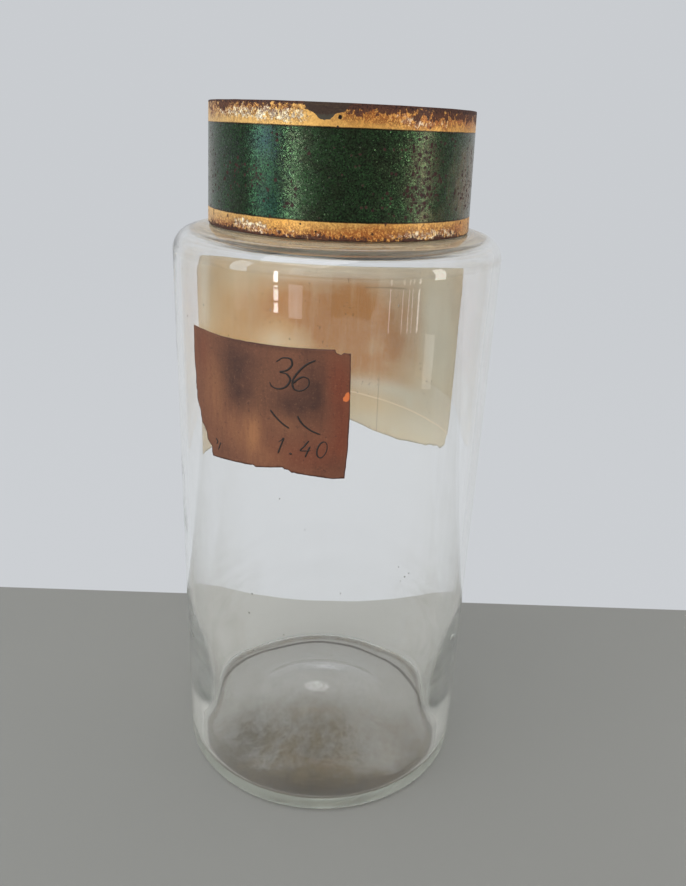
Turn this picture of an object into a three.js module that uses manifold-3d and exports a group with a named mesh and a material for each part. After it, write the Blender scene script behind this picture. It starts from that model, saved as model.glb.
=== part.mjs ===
// Tall glass storage jar with a lift-off tinplate lid and two paper labels.
// Millimetres, +Z up. Origin: centre of the foot ring, on the table. The small label faces -Y.
import * as THREE from "three";
import { mergeVertices } from "three/addons/utils/BufferGeometryUtils.js";
import Module from "manifold-3d";

// ---- driving dimensions -------------------------------------------------------------------
const SEG = 48; // facets round every turned piece

// glass jar
const BODY_R = 68.5; // outer radius of the straight wall
const WALL = 3.2; // wall thickness of the straight wall
const WALL_LOW = 6.0; // wall thickness just above the base, where the blown glass is heavier
const FOOT_IN = 54.0; // flat foot ring, inner and outer radius
const FOOT_OUT = 60.0;
const HEEL_H = 3.0; // height of the tight heel
const PUNT_H = 9.6; // how far the base is pushed up in the middle
const BASE_T = 3.5; // thickness of the base
const SHOULDER_R = 9.5; // radius of the rounded shoulder corner
const SHOULDER_Z0 = 244.0; // where the straight wall ends
const SHOULDER_TOP = 254.3; // the shoulder beside the neck
const NECK_R = 50.0; // outer radius of the neck
const BORE_R = 46.6; // inner radius of the neck
const LIP_R = 51.3; // outer radius of the lip bead
const LIP_Z = 290.4; // top of the lip

// tinplate lid
const LID_BOTTOM = 254.7;
const LID_TOP = 300.1;
const LID_R_BOTTOM = 53.8; // outer radius at the lower edge
const LID_R_TOP = 52.7; // outer radius at the upper edge
const TIN = 0.5; // sheet thickness
const HEM_H = 5.5; // height of the folded lower edge
const TOP_RECESS = 1.0; // how far the disc lies below the band's upper edge
const FLANGE_H = 5.0; // turned-down edge of the disc
const GAP = 0.35; // clearance between pieces that touch
const LAP_DEG = 9; // width of the lap seam
const LAP_END = 186; // angle of the lap's free end, at the back

// paper labels, on the wall
const PAPER_GAP = 0.2;
const PAPER_T = 0.25;

// ---- helpers ------------------------------------------------------------------------------
const wasm = await Module();
wasm.setup();

const rad = (d) => (d * Math.PI) / 180;

// A ring or solid of revolution about Z from a profile of [r, z] pairs.
function turned(profile, phi0 = 0, arc = 360, segments = SEG) {
  const g = new THREE.LatheGeometry(
    profile.map(([r, z]) => new THREE.Vector2(r, z)),
    segments,
    rad(phi0),
    rad(arc),
  );
  g.rotateX(Math.PI / 2);
  return g;
}

// Position-only geometry with shared vertices.
function welded(geometry) {
  const g = geometry.clone();
  for (const a of ["normal", "uv"]) if (g.getAttribute(a)) g.deleteAttribute(a);
  return mergeVertices(g, 1e-4);
}

function solid(geometry) {
  const g = welded(geometry);
  const m = new wasm.Manifold(
    new wasm.Mesh({
      numProp: 3,
      vertProperties: new Float32Array(g.attributes.position.array),
      triVerts: new Uint32Array(g.index.array),
    }),
  );
  return m;
}

function fromSolid(m) {
  const mesh = m.getMesh();
  const g = new THREE.BufferGeometry();
  g.setAttribute(
    "position",
    new THREE.BufferAttribute(new Float32Array(mesh.vertProperties), 3),
  );
  g.setIndex(new THREE.BufferAttribute(new Uint32Array(mesh.triVerts), 1));
  g.computeVertexNormals();
  return g;
}

// Points on an arc from angle a to angle b (degrees), n steps.
function arc(cx, cz, r, a, b, n) {
  const out = [];
  for (let i = 0; i <= n; i++) {
    const t = rad(a + ((b - a) * i) / n);
    out.push([cx + r * Math.cos(t), cz + r * Math.sin(t)]);
  }
  return out;
}

// Angle phi: 0 faces -Y, positive towards +X.
const onWall = (phi, r, z) => [
  r * Math.sin(rad(phi)),
  -r * Math.cos(rad(phi)),
  z,
];

// Straight-line reading of a table of [x, y] pairs.
function read(table, x) {
  if (x <= table[0][0]) return table[0][1];
  for (let i = 1; i < table.length; i++)
    if (x <= table[i][0]) {
      const [x0, y0] = table[i - 1],
        [x1, y1] = table[i];
      return y0 + ((y1 - y0) * (x - x0)) / (x1 - x0);
    }
  return table[table.length - 1][1];
}

// A sheet bent round the Z axis between two edges given as tables of [phi, z].
function bentSheet(phis, low, high, rIn, thickness, rows = 1) {
  const g = new THREE.BoxGeometry(1, 1, 1, phis.length - 1, rows, 1);
  const p = g.getAttribute("position");
  for (let i = 0; i < p.count; i++) {
    const phi =
      phis[Math.round((p.getX(i) + 0.5) * (phis.length - 1))];
    const zl = read(low, phi),
      zh = read(high, phi);
    const z = zl + (zh - zl) * (p.getY(i) + 0.5);
    const r = rIn + thickness * (p.getZ(i) + 0.5);
    p.setXYZ(i, ...onWall(phi, r, z));
  }
  return g;
}

function mesh(name, geometry, color, roughness, metalness, extra = {}) {
  const g = geometry.index ? geometry : mergeVertices(geometry, 1e-4);
  g.computeVertexNormals();
  const m = new THREE.Mesh(
    g,
    new THREE.MeshStandardMaterial({ color, roughness, metalness, ...extra }),
  );
  m.name = name;
  return m;
}

// ---- glass jar ----------------------------------------------------------------------------
const bodyIn = BODY_R - WALL;
const lowIn = BODY_R - WALL_LOW;
const jarProfile = [
  // underside, from the middle of the push-up to the foot ring
  [0, PUNT_H],
  [10, PUNT_H - 0.3],
  [19, PUNT_H - 1.8],
  [26, PUNT_H - 3.8],
  [32, PUNT_H - 6.1],
  [36, 2.2],
  [44, 1.05],
  [FOOT_IN, 0],
  [FOOT_OUT, 0],
  // the bottom rises a little towards the tight heel
  [66.4, 0.45],
  [67.9, 1.1],
  [BODY_R, HEEL_H],
  // wall and shoulder
  [BODY_R, 80],
  [BODY_R, 160],
  ...arc(BODY_R - SHOULDER_R, SHOULDER_Z0, SHOULDER_R, 0, 82, 7),
  [54.2, SHOULDER_TOP - 0.02],
  [52.6, SHOULDER_TOP],
  [51.2, SHOULDER_TOP + 0.9],
  [50.3, SHOULDER_TOP + 2.6],
  [NECK_R, SHOULDER_TOP + 4.8],
  // neck and lip bead
  [NECK_R, LIP_Z - 7.2],
  [50.6, LIP_Z - 5.6],
  [LIP_R, LIP_Z - 3.4],
  [51.0, LIP_Z - 1.3],
  [49.8, LIP_Z - 0.15],
  [48.2, LIP_Z],
  [47.0, LIP_Z - 0.8],
  [BORE_R, LIP_Z - 2.2],
  [BORE_R, SHOULDER_TOP + 3.6],
  // inside of the shoulder, parallel to its outside
  [47.2, SHOULDER_TOP + 0.9],
  [48.7, SHOULDER_TOP - 1.3],
  [51.2, SHOULDER_TOP - 2.7],
  [54.5, SHOULDER_TOP - 3.3],
  ...arc(BODY_R - SHOULDER_R, SHOULDER_Z0, SHOULDER_R - WALL, 82, 0, 5),
  // inside of the wall, heavier towards the base
  [bodyIn, 160],
  [bodyIn, 86],
  [bodyIn - 0.45, 71],
  [bodyIn - 1.4, 56],
  [bodyIn - 2.35, 41],
  [lowIn, 27],
  // inside of the heel and the base
  [lowIn, BASE_T + 3.0],
  [lowIn - 0.6, BASE_T + 1.1],
  [lowIn - 2.0, BASE_T + 0.2],
  [57.0, BASE_T],
  [48.0, BASE_T + 0.5],
  [40.0, BASE_T + 1.3],
  [35.5, BASE_T + 2.4],
  [30.0, BASE_T + 5.3],
  [21.0, BASE_T + 8.1],
  [11.0, BASE_T + 9.2],
  [0, PUNT_H + BASE_T],
];
const jarMesh = mesh("glass_jar", turned(jarProfile), 0xdfe8e4, 0.05, 0, {
  transparent: true,
  opacity: 0.35,
});

// ---- lid ----------------------------------------------------------------------------------
const lidR = (z) =>
  LID_R_BOTTOM +
  ((LID_R_TOP - LID_R_BOTTOM) * (z - LID_BOTTOM)) / (LID_TOP - LID_BOTTOM);
const hemT = 2 * TIN + 0.1; // folded sheet, two layers
const bandProfile = [
  [LID_R_BOTTOM - 0.4, LID_BOTTOM],
  [LID_R_BOTTOM - 0.1, LID_BOTTOM + 0.2],
  [lidR(LID_BOTTOM + 0.6), LID_BOTTOM + 0.6],
  [lidR(277), 277],
  [lidR(LID_TOP - 0.3), LID_TOP - 0.3],
  [lidR(LID_TOP) - 0.12, LID_TOP],
  [lidR(LID_TOP) - TIN + 0.12, LID_TOP],
  [lidR(LID_TOP - 0.3) - TIN, LID_TOP - 0.3],
  [lidR(277) - TIN, 277],
  [lidR(LID_BOTTOM + HEM_H) - TIN, LID_BOTTOM + HEM_H],
  [lidR(LID_BOTTOM + HEM_H) - hemT, LID_BOTTOM + HEM_H - 0.2],
  [lidR(LID_BOTTOM + 0.6) - hemT, LID_BOTTOM + 0.6],
  [LID_R_BOTTOM - hemT + 0.15, LID_BOTTOM + 0.15],
  [LID_R_BOTTOM - hemT + 0.4, LID_BOTTOM],
  [LID_R_BOTTOM - 0.4, LID_BOTTOM],
];
const ring = solid(turned(bandProfile));

// the outer end of the strip, lapped over the ring at the back
const lapPhis = [];
for (let i = 0; i <= 6; i++) lapPhis.push(LAP_END - LAP_DEG + (LAP_DEG * i) / 6);
function bandStrip(phis, zLow, zHigh, rOffset, thickness) {
  const g = new THREE.BoxGeometry(1, 1, 1, phis.length - 1, 1, 1);
  const p = g.getAttribute("position");
  for (let i = 0; i < p.count; i++) {
    const phi = phis[Math.round((p.getX(i) + 0.5) * (phis.length - 1))];
    const z = zLow + (zHigh - zLow) * (p.getY(i) + 0.5);
    const r = lidR(z) + rOffset + thickness * (p.getZ(i) + 0.5);
    p.setXYZ(i, ...onWall(phi, r, z));
  }
  return g;
}
const lap = solid(
  bandStrip(lapPhis, LID_BOTTOM + 0.5, LID_TOP - 0.4, -0.15, 0.15 + TIN),
);
const bandMesh = mesh("lid_band", fromSolid(ring.add(lap)), 0x23452f, 0.4, 0.3);

// disc with its turned-down flange
const discTop = LID_TOP - TOP_RECESS;
const discR = lidR(discTop) - TIN - GAP;
const topProfile = [
  [0, discTop - TIN],
  [discR - 1.3, discTop - TIN],
  [discR - 0.7, discTop - TIN - 0.2],
  [discR - TIN, discTop - TIN - 0.9],
  [discR - TIN, discTop - FLANGE_H],
  [discR, discTop - FLANGE_H],
  [discR, discTop - 0.9],
  [discR - 0.25, discTop - 0.25],
  [discR - 0.9, discTop],
  [0, discTop],
];
const topMesh = mesh("lid_top", turned(topProfile), 0x23452f, 0.45, 0.3);

// solder under the flange, between it and the band
const sTop = discTop - FLANGE_H - GAP;
const rimSolderProfile = [
  [discR - 0.9, sTop],
  [discR - 0.6, sTop - 0.7],
  [discR - 0.05, sTop - 1.6],
  [discR + 0.02, sTop - 1.6],
  [discR + 0.0, sTop],
  [discR - 0.9, sTop],
];
const rimSolderMesh = mesh(
  "lid_rim_solder",
  turned(rimSolderProfile),
  0x8d8a84,
  0.5,
  0.9,
);

// solder along the free end of the lap
const seamPhi0 = LAP_END + 0.4;
const seamSolderMesh = mesh(
  "lid_seam_solder",
  bandStrip(
    [seamPhi0, seamPhi0 + 0.8, seamPhi0 + 1.6],
    LID_BOTTOM + 1.0,
    LID_TOP - 1.0,
    GAP,
    0.4,
  ),
  0x8d8a84,
  0.5,
  0.9,
);

// ---- paper labels -------------------------------------------------------------------------
const frontHigh = [
  [-52.2, 220.2],
  [-37.3, 219.2],
  [-22.9, 219.3],
  [-10.1, 219.3],
  [0.3, 219.6],
  [1.5, 218.0],
  [5.0, 218.3],
  [5.6, 208.5],
];
const frontLow = [
  [-52.2, 205.9],
  [-51.8, 192.8],
  [-49.9, 186.0],
  [-47.1, 178.5],
  [-43.8, 175.0],
  [-42.9, 169.1],
  [-34.8, 169.9],
  [-24.7, 170.2],
  [-15.6, 172.0],
  [-14.9, 171.5],
  [-9.3, 170.4],
  [1.2, 169.2],
  [4.8, 169.5],
  [5.6, 181.2],
];
const frontPhis = [
  -52.2, -51.8, -49.9, -48.5, -47.1, -45.4, -43.8, -42.9, -40, -37.3, -34.8,
  -32, -29.5, -27, -24.7, -22.9, -20.5, -18, -15.6, -14.9, -12, -9.3, -6.5,
  -3.5, 0, 1.2, 3, 4.8, 5.6,
];
const frontMesh = mesh(
  "front_label",
  bentSheet(frontPhis, frontLow, frontHigh, BODY_R + PAPER_GAP, PAPER_T, 2),
  0x7b4a33,
  0.9,
  0,
);

const rearHigh = [
  [113.9, 232.5],
  [115.0, 234.2],
  [180, 234.3],
  [254.3, 234.2],
  [255.4, 232.8],
];
const rearLow = [
  [113.9, 158.0],
  [115.0, 148.0],
  [116.6, 144.8],
  [120.5, 142.5],
  [132.9, 138.8],
  [146.6, 136.9],
  [159.3, 138.9],
  [171.4, 143.5],
  [185.0, 145.0],
  [215.0, 142.5],
  [254.3, 140.3],
  [255.4, 143.5],
];
const rearPhis = [113.9, 115.0, 116.6, 118.5, 120.5];
for (let a = 123; a <= 252; a += 3) rearPhis.push(a);
rearPhis.push(254.3, 255.4);
const rearMesh = mesh(
  "rear_label",
  bentSheet(rearPhis, rearLow, rearHigh, BODY_R + PAPER_GAP, PAPER_T, 2),
  0xb89a74,
  0.9,
  0,
);

// ---- assembly -----------------------------------------------------------------------------
const jar = new THREE.Group();
jar.add(jarMesh, frontMesh, rearMesh);

const lid = new THREE.Group();
lid.add(bandMesh, topMesh, rimSolderMesh, seamSolderMesh);

const assembly = new THREE.Group();
assembly.add(jar, lid);

export default assembly;
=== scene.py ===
"""Tall blown-glass storage jar with a lacquered tin lid and two old paper labels.
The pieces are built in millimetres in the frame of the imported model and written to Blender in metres."""

import math

import bmesh
import bpy
import numpy as np
from mathutils import Matrix, Vector
from mathutils import geometry as mgeo
from mathutils import noise as mnoise


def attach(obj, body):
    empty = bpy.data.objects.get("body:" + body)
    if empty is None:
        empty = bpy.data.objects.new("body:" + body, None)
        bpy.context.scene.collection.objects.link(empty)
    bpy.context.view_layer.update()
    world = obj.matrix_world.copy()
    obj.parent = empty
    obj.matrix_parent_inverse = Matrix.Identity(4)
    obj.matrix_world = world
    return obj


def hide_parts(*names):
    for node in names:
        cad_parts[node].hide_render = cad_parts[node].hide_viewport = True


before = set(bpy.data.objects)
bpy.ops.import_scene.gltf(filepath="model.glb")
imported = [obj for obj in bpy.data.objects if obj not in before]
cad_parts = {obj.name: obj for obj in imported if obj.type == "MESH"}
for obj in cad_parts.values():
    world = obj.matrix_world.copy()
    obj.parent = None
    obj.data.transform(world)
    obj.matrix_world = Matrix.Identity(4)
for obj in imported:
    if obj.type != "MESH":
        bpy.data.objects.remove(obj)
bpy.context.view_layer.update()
scene = bpy.context.scene
MM = 0.001

# ------------------------------------------------------------------ driving dimensions (mm)
BODY_R = 68.5
WALL, WALL_LOW = 3.2, 6.0  # above the middle, and just over the base
SHOULDER_TOP = 254.3
SHOULDER_CR, SHOULDER_CZ, SHOULDER_ARC = 59.0, 244.0, 9.5
NECK_R, BORE_R = 50.0, 46.6
LIP_R, LIP_Z = 51.3, 290.4
LID_BOTTOM, LID_TOP = 254.75, 300.05
LID_R_BOTTOM, LID_R_TOP = 53.8, 52.7
TIN = 0.45
BAND_TOP_Z = 292.3  # lower edge of the upper gold band
BAND_BOTTOM_Z = 261.4  # upper edge of the lower gold band

# ------------------------------------------------------------------ small maths helpers


def smooth(a, b, x):
    """Smooth step from 0 at a to 1 at b, for numbers and arrays."""
    t = np.clip((x - a) / (b - a), 0.0, 1.0)
    return t * t * (3 - 2 * t)


def perlin(x, y, z, seed=0.0):
    return mnoise.noise(Vector((x + 17.31 * seed, y - 9.7 * seed, z + 3.1 * seed)))


def fractal(x, y, z, octaves=4, seed=0.0):
    total, amp, f = 0.0, 1.0, 1.0
    for k in range(octaves):
        total += amp * perlin(x * f, y * f, z * f, seed + k * 1.7)
        amp *= 0.5
        f *= 2.03
    return total


def around(phi, r, z):
    """A point at angle phi (radians, 0 facing -Y, towards +X), as x, y, z in mm."""
    return (r * math.sin(phi), -r * math.cos(phi), z)


def spline(points, step):
    """Smooth curve through the points (centripetal Catmull-Rom), sampled about every step."""
    p = [np.array(q, float) for q in points]
    p = [2 * p[0] - p[1]] + p + [2 * p[-1] - p[-2]]
    out = []
    for i in range(1, len(p) - 2):
        a, b, c, d = p[i - 1], p[i], p[i + 1], p[i + 2]
        t0 = 0.0
        t1 = t0 + max(np.linalg.norm(b - a), 1e-9) ** 0.5
        t2 = t1 + max(np.linalg.norm(c - b), 1e-9) ** 0.5
        t3 = t2 + max(np.linalg.norm(d - c), 1e-9) ** 0.5
        n = max(1, int(round(np.linalg.norm(c - b) / step)))
        for k in range(n):
            t = t1 + (t2 - t1) * k / n
            a1 = (t1 - t) / (t1 - t0) * a + (t - t0) / (t1 - t0) * b
            a2 = (t2 - t) / (t2 - t1) * b + (t - t1) / (t2 - t1) * c
            a3 = (t3 - t) / (t3 - t2) * c + (t - t2) / (t3 - t2) * d
            b1 = (t2 - t) / (t2 - t0) * a1 + (t - t0) / (t2 - t0) * a2
            b2 = (t3 - t) / (t3 - t1) * a2 + (t - t1) / (t3 - t1) * a3
            out.append((t2 - t) / (t2 - t1) * b1 + (t - t1) / (t2 - t1) * b2)
    out.append(p[-2])
    return [tuple(q) for q in out]


def straight(a, b, step):
    n = max(1, int(round(math.dist(a, b) / step)))
    return [
        (a[0] + (b[0] - a[0]) * k / n, a[1] + (b[1] - a[1]) * k / n) for k in range(n)
    ]


def mesh_object(name, verts_mm, faces, body, replaces=(), flip_check=True):
    me = bpy.data.meshes.new(name)
    me.from_pydata([(x * MM, y * MM, z * MM) for x, y, z in verts_mm], [], faces)
    me.update()
    if flip_check:
        bm = bmesh.new()
        bm.from_mesh(me)
        bmesh.ops.recalc_face_normals(bm, faces=bm.faces)
        bm.to_mesh(me)
        bm.free()
    me.polygons.foreach_set("use_smooth", [True] * len(me.polygons))
    o = bpy.data.objects.new(name, me)
    scene.collection.objects.link(o)
    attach(o, body)
    if replaces:
        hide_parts(*replaces)
    return o


def revolve(profile, segments, shape=None):
    """Vertices and faces of a profile turned round Z. Points on the axis become poles.
    shape(phi, r, z, i) may move a point. Also returns the profile index of every vertex."""
    verts, faces, rows, index = [], [], [], []
    for i, (r, z) in enumerate(profile):
        if r < 1e-6:
            rows.append([len(verts)])
            rr, zz = shape(0.0, r, z, i) if shape else (r, z)
            verts.append((0.0, 0.0, zz))
            index.append(i)
            continue
        row = []
        for s in range(segments):
            phi = 2 * math.pi * s / segments
            rr, zz = shape(phi, r, z, i) if shape else (r, z)
            row.append(len(verts))
            verts.append(around(phi, rr, zz))
            index.append(i)
        rows.append(row)
    closed = len(rows[0]) > 1 and len(rows[-1]) > 1
    pairs = list(zip(rows, rows[1:], strict=False))
    if closed:
        pairs.append((rows[-1], rows[0]))
    for a, b in pairs:
        for s in range(segments):
            t = (s + 1) % segments
            if len(a) == 1:
                faces.append((a[0], b[t], b[s]))
            elif len(b) == 1:
                faces.append((a[s], a[t], b[0]))
            else:
                faces.append((a[s], a[t], b[t], b[s]))
    return verts, faces, index


def float_attribute(o, name, values):
    a = o.data.attributes.new(name, "FLOAT", "POINT")
    a.data.foreach_set("value", np.asarray(values, dtype=np.float32))


# ------------------------------------------------------------------ material helper


class Mat:
    """A small wrapper that makes node trees readable."""

    def __init__(self, name):
        self.m = bpy.data.materials.new(name)
        self.m.use_nodes = True
        self.nt = self.m.node_tree
        self.nt.nodes.clear()
        self.out = self.new("ShaderNodeOutputMaterial")
        self.p = self.new("ShaderNodeBsdfPrincipled")
        self.nt.links.new(self.p.outputs[0], self.out.inputs["Surface"])
        tc = self.new("ShaderNodeTexCoord")
        self.obj = tc.outputs["Object"]
        sep = self.new("ShaderNodeSeparateXYZ")
        self.link(self.obj, sep.inputs[0])
        self.x, self.y, self.z = sep.outputs

    def new(self, kind, **props):
        n = self.nt.nodes.new(kind)
        for k, v in props.items():
            setattr(n, k, v)
        return n

    def link(self, a, b):
        self.nt.links.new(a, b)

    def put(self, socket, value):
        if isinstance(value, bpy.types.NodeSocket):
            self.link(value, socket)
        elif value is not None:
            socket.default_value = value

    def math(self, op, a, b=None, c=None, clamp=False):
        n = self.new("ShaderNodeMath", operation=op, use_clamp=clamp)
        self.put(n.inputs[0], a)
        if b is not None:
            self.put(n.inputs[1], b)
        if c is not None:
            self.put(n.inputs[2], c)
        return n.outputs[0]

    def add(self, a, b):
        return self.math("ADD", a, b)

    def sub(self, a, b):
        return self.math("SUBTRACT", a, b)

    def mul(self, a, b):
        return self.math("MULTIPLY", a, b)

    def most(self, a, b):
        return self.math("MAXIMUM", a, b)

    def step(self, lo, hi, value, out_lo=0.0, out_hi=1.0):
        """Smooth step of value from lo to hi."""
        n = self.new("ShaderNodeMapRange", interpolation_type="SMOOTHSTEP")
        self.put(n.inputs["Value"], value)
        self.put(n.inputs["From Min"], lo)
        self.put(n.inputs["From Max"], hi)
        self.put(n.inputs["To Min"], out_lo)
        self.put(n.inputs["To Max"], out_hi)
        return n.outputs[0]

    def mix(self, fac, a, b):
        """Colour mix."""
        n = self.new("ShaderNodeMix", data_type="RGBA")
        self.put(n.inputs[0], fac)
        self.put(n.inputs[6], a)
        self.put(n.inputs[7], b)
        return n.outputs[2]

    def mixf(self, fac, a, b):
        n = self.new("ShaderNodeMix", data_type="FLOAT")
        self.put(n.inputs[0], fac)
        self.put(n.inputs[2], a)
        self.put(n.inputs[3], b)
        return n.outputs[0]

    def scaled(self, sx, sy, sz, offset=(0.0, 0.0, 0.0)):
        """Object coordinates, in 1/mm, stretched."""
        n = self.new("ShaderNodeMapping")
        self.link(self.obj, n.inputs["Vector"])
        n.inputs["Scale"].default_value = (sx * 1000, sy * 1000, sz * 1000)
        n.inputs["Location"].default_value = offset
        return n.outputs[0]

    def noise(self, size, detail=3.0, rough=0.5, seed=0.0, vector=None, distort=0.0):
        """Noise with features of about size mm, 0 to 1."""
        n = self.new("ShaderNodeTexNoise")
        v = vector or self.scaled(
            1 / size, 1 / size, 1 / size, (seed * 3.7, seed * 1.9, seed * 5.3)
        )
        self.link(v, n.inputs["Vector"])
        n.inputs["Scale"].default_value = 1.0
        n.inputs["Detail"].default_value = detail
        n.inputs["Roughness"].default_value = rough
        n.inputs["Distortion"].default_value = distort
        return n.outputs["Fac"]

    def cells(self, size, seed=0.0, feature="F1", vector=None, randomness=1.0):
        n = self.new("ShaderNodeTexVoronoi", feature=feature)
        v = vector or self.scaled(
            1 / size, 1 / size, 1 / size, (seed * 2.3, seed * 4.1, seed * 1.3)
        )
        self.link(v, n.inputs["Vector"])
        n.inputs["Scale"].default_value = 1.0
        n.inputs["Randomness"].default_value = randomness
        return n

    def attr(self, name):
        n = self.new("ShaderNodeAttribute", attribute_name=name)
        return n.outputs["Fac"]

    def bump(self, height, strength, distance_mm, normal=None):
        n = self.new("ShaderNodeBump")
        n.inputs["Strength"].default_value = strength
        n.inputs["Distance"].default_value = distance_mm * MM
        self.put(n.inputs["Height"], height)
        if normal is not None:
            self.link(normal, n.inputs["Normal"])
        return n.outputs[0]

    def set(self, **sockets):
        for k, v in sockets.items():
            self.put(self.p.inputs[k.replace("_", " ")], v)


def rgb(r, g, b):
    """A colour given as sRGB 0-255, as Blender's linear values."""

    def lin(c):
        c /= 255.0
        return c / 12.92 if c <= 0.04045 else ((c + 0.055) / 1.055) ** 2.4

    return (lin(r), lin(g), lin(b), 1.0)


# ------------------------------------------------------------------ glass jar


def wall_dent(phi, z):
    """How far the blown wall's outside lies inside the true circle, mm."""
    return (
        0.15
        + 0.08 * math.sin(2 * phi + 0.7 + z / 190)
        + 0.04 * math.sin(3 * phi - z / 70)
        + 0.03 * perlin(math.sin(phi) * 1.6, math.cos(phi) * 1.6, z / 55, 1.0)
    )


def outer_r(phi, z):
    return BODY_R - wall_dent(phi, z)


def inner_wave(phi, z):
    """Uneven thickness of the blown wall, felt on its inside, mm."""
    s, c = math.sin(phi), math.cos(phi)
    return 0.16 * perlin(s * 1.3, c * 1.3, z / 85, 4.0) + 0.02 * perlin(
        s * 5.5, c * 5.5, z / 60, 7.0
    )


def wall_t(z):
    """Thickness of the wall at height z: heavier towards the base."""
    return float(WALL_LOW + (WALL - WALL_LOW) * smooth(27.0, 85.0, z))


def arc(cr, cz, radius, start, stop, n):
    """Points of an arc from angle start to stop, in degrees from the horizontal."""
    return [
        (
            cr + radius * math.cos(math.radians(start + (stop - start) * k / n)),
            cz + radius * math.sin(math.radians(start + (stop - start) * k / n)),
        )
        for k in range(n + 1)
    ]


# a pushed-up base on a broad, worn ring, and a tight heel
outer_bottom = (
    spline(
        [
            (0, 9.6),
            (9, 9.3),
            (18, 8.0),
            (25, 6.1),
            (30, 4.3),
            (33.5, 2.9),
            (37, 2.0),
            (43, 1.2),
            (50, 0.45),
            (55, 0.06),
            (57.5, 0.0),
            (60, 0.03),
            (64, 0.2),
            (66.5, 0.5),
        ],
        1.1,
    )[:-1]
    + arc(66.5, 2.5, 2.0, -90, 0, 10)
)
outer_wall = straight((BODY_R, 2.5), (BODY_R, SHOULDER_CZ), 4.0)
outer_top = spline(
    arc(SHOULDER_CR, SHOULDER_CZ, SHOULDER_ARC, 0, 82, 7)
    + [
        (57.2, 254.0),
        (54.2, 254.28),
        (52.6, 254.45),
        (51.2, 255.2),
        (50.3, 256.9),
        (50.03, 259.1),
        (NECK_R, 262.0),
    ],
    0.7,
)
outer_neck = straight((NECK_R, 262.0), (NECK_R, 282.6), 3.0)
lip = spline(
    [
        (NECK_R, 282.6),
        (50.3, 284.0),
        (51.1, 285.8),
        (LIP_R, 287.4),
        (51.0, 289.0),
        (50.0, 290.1),
        (48.6, LIP_Z),
        (47.3, 289.9),
        (46.7, 288.6),
        (BORE_R, 286.6),
    ],
    0.45,
)
bore = straight((BORE_R, 286.6), (BORE_R, 258.6), 3.0)
# inside, the shoulder runs parallel to the outside
inner_top = spline(
    [
        (BORE_R, 258.6),
        (46.75, 257.0),
        (47.3, 255.2),
        (48.7, 253.2),
        (51.2, 251.8),
        (54.5, 251.1),
        (57.4, 250.75),
    ]
    + arc(SHOULDER_CR, SHOULDER_CZ, SHOULDER_ARC - WALL, 82, 0, 6),
    0.7,
)
inner_wall = [
    (BODY_R - wall_t(z), z)
    for z in np.linspace(SHOULDER_CZ, 6.5, 96)[:-1]
]
inner_bottom = arc(59.5, 6.5, 3.0, 0, -90, 8)[:-1] + spline(
    [
        (59.5, 3.5),
        (56.0, 3.55),
        (50.0, 3.85),
        (44.0, 4.3),
        (38.0, 5.1),
        (35.0, 6.0),
        (32.5, 7.4),
        (28.0, 9.7),
        (21.0, 11.7),
        (11.0, 12.8),
        (0, 13.1),
    ],
    1.1,
)
jar_profile = (
    outer_bottom[:-1]
    + outer_wall
    + outer_top[:-1]
    + outer_neck
    + lip[:-1]
    + bore
    + inner_top[:-1]
    + inner_wall
    + inner_bottom
)
n_outer = len(outer_bottom) - 1 + len(outer_wall) + len(outer_top) - 1 + len(outer_neck)
n_lip = n_outer + len(lip) - 1
jar_profile[0] = (0.0, jar_profile[0][1])
jar_profile[-1] = (0.0, jar_profile[-1][1])


def jar_shape(phi, r, z, i):
    if i < n_outer:
        k = smooth(60.0, 68.0, r)
        r2 = r - wall_dent(phi, z) * k
        # the shoulder was worked by hand and isn't quite level
        top = smooth(238.0, 250.0, z) * smooth(49.0, 60.0, r)
        return r2, z + 0.22 * top * (math.sin(phi) - 1.0)
    if i < n_lip + len(bore):
        return r, z
    k = smooth(40.0, 62.0, r)
    r2 = r - wall_dent(phi, z) * k + inner_wave(phi, z) * k * smooth(5.0, 25.0, z)
    z2 = z
    if z < 30:
        z2 = z + 0.30 * smooth(60, 44, r) * perlin(
            math.sin(phi) * r / 30, math.cos(phi) * r / 30, 2.0, 3.0
        )
    return r2, z2


jar_profile = [(r, max(z, 0.0)) for r, z in jar_profile]
verts, faces, index = revolve(jar_profile, 360, jar_shape)
inside = np.array([1.0 if i >= n_lip else 0.0 for i in index])
pos = np.array(verts)

# bubbles frozen in the glass: small voids inside the wall and the base
rng = np.random.default_rng(7)


def bubble(centre, axes, out_v, out_f):
    base = len(out_v)
    rings, segs = 6, 8
    out_v.append(tuple(centre + axes[2]))
    for a in range(1, rings):
        t = math.pi * a / rings
        for b in range(segs):
            u = 2 * math.pi * b / segs
            out_v.append(
                tuple(
                    centre
                    + axes[0] * math.sin(t) * math.cos(u)
                    + axes[1] * math.sin(t) * math.sin(u)
                    + axes[2] * math.cos(t)
                )
            )
    out_v.append(tuple(centre - axes[2]))
    last = len(out_v) - 1
    # wound so that the normals point into the void, out of the glass
    for b in range(segs):
        c = (b + 1) % segs
        out_f.append((base, base + 1 + c, base + 1 + b))
        out_f.append(
            (
                last,
                base + 1 + (rings - 2) * segs + b,
                base + 1 + (rings - 2) * segs + c,
            )
        )
        for a in range(rings - 2):
            p0, p1 = base + 1 + a * segs, base + 1 + (a + 1) * segs
            out_f.append((p0 + b, p0 + c, p1 + c, p1 + b))


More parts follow.
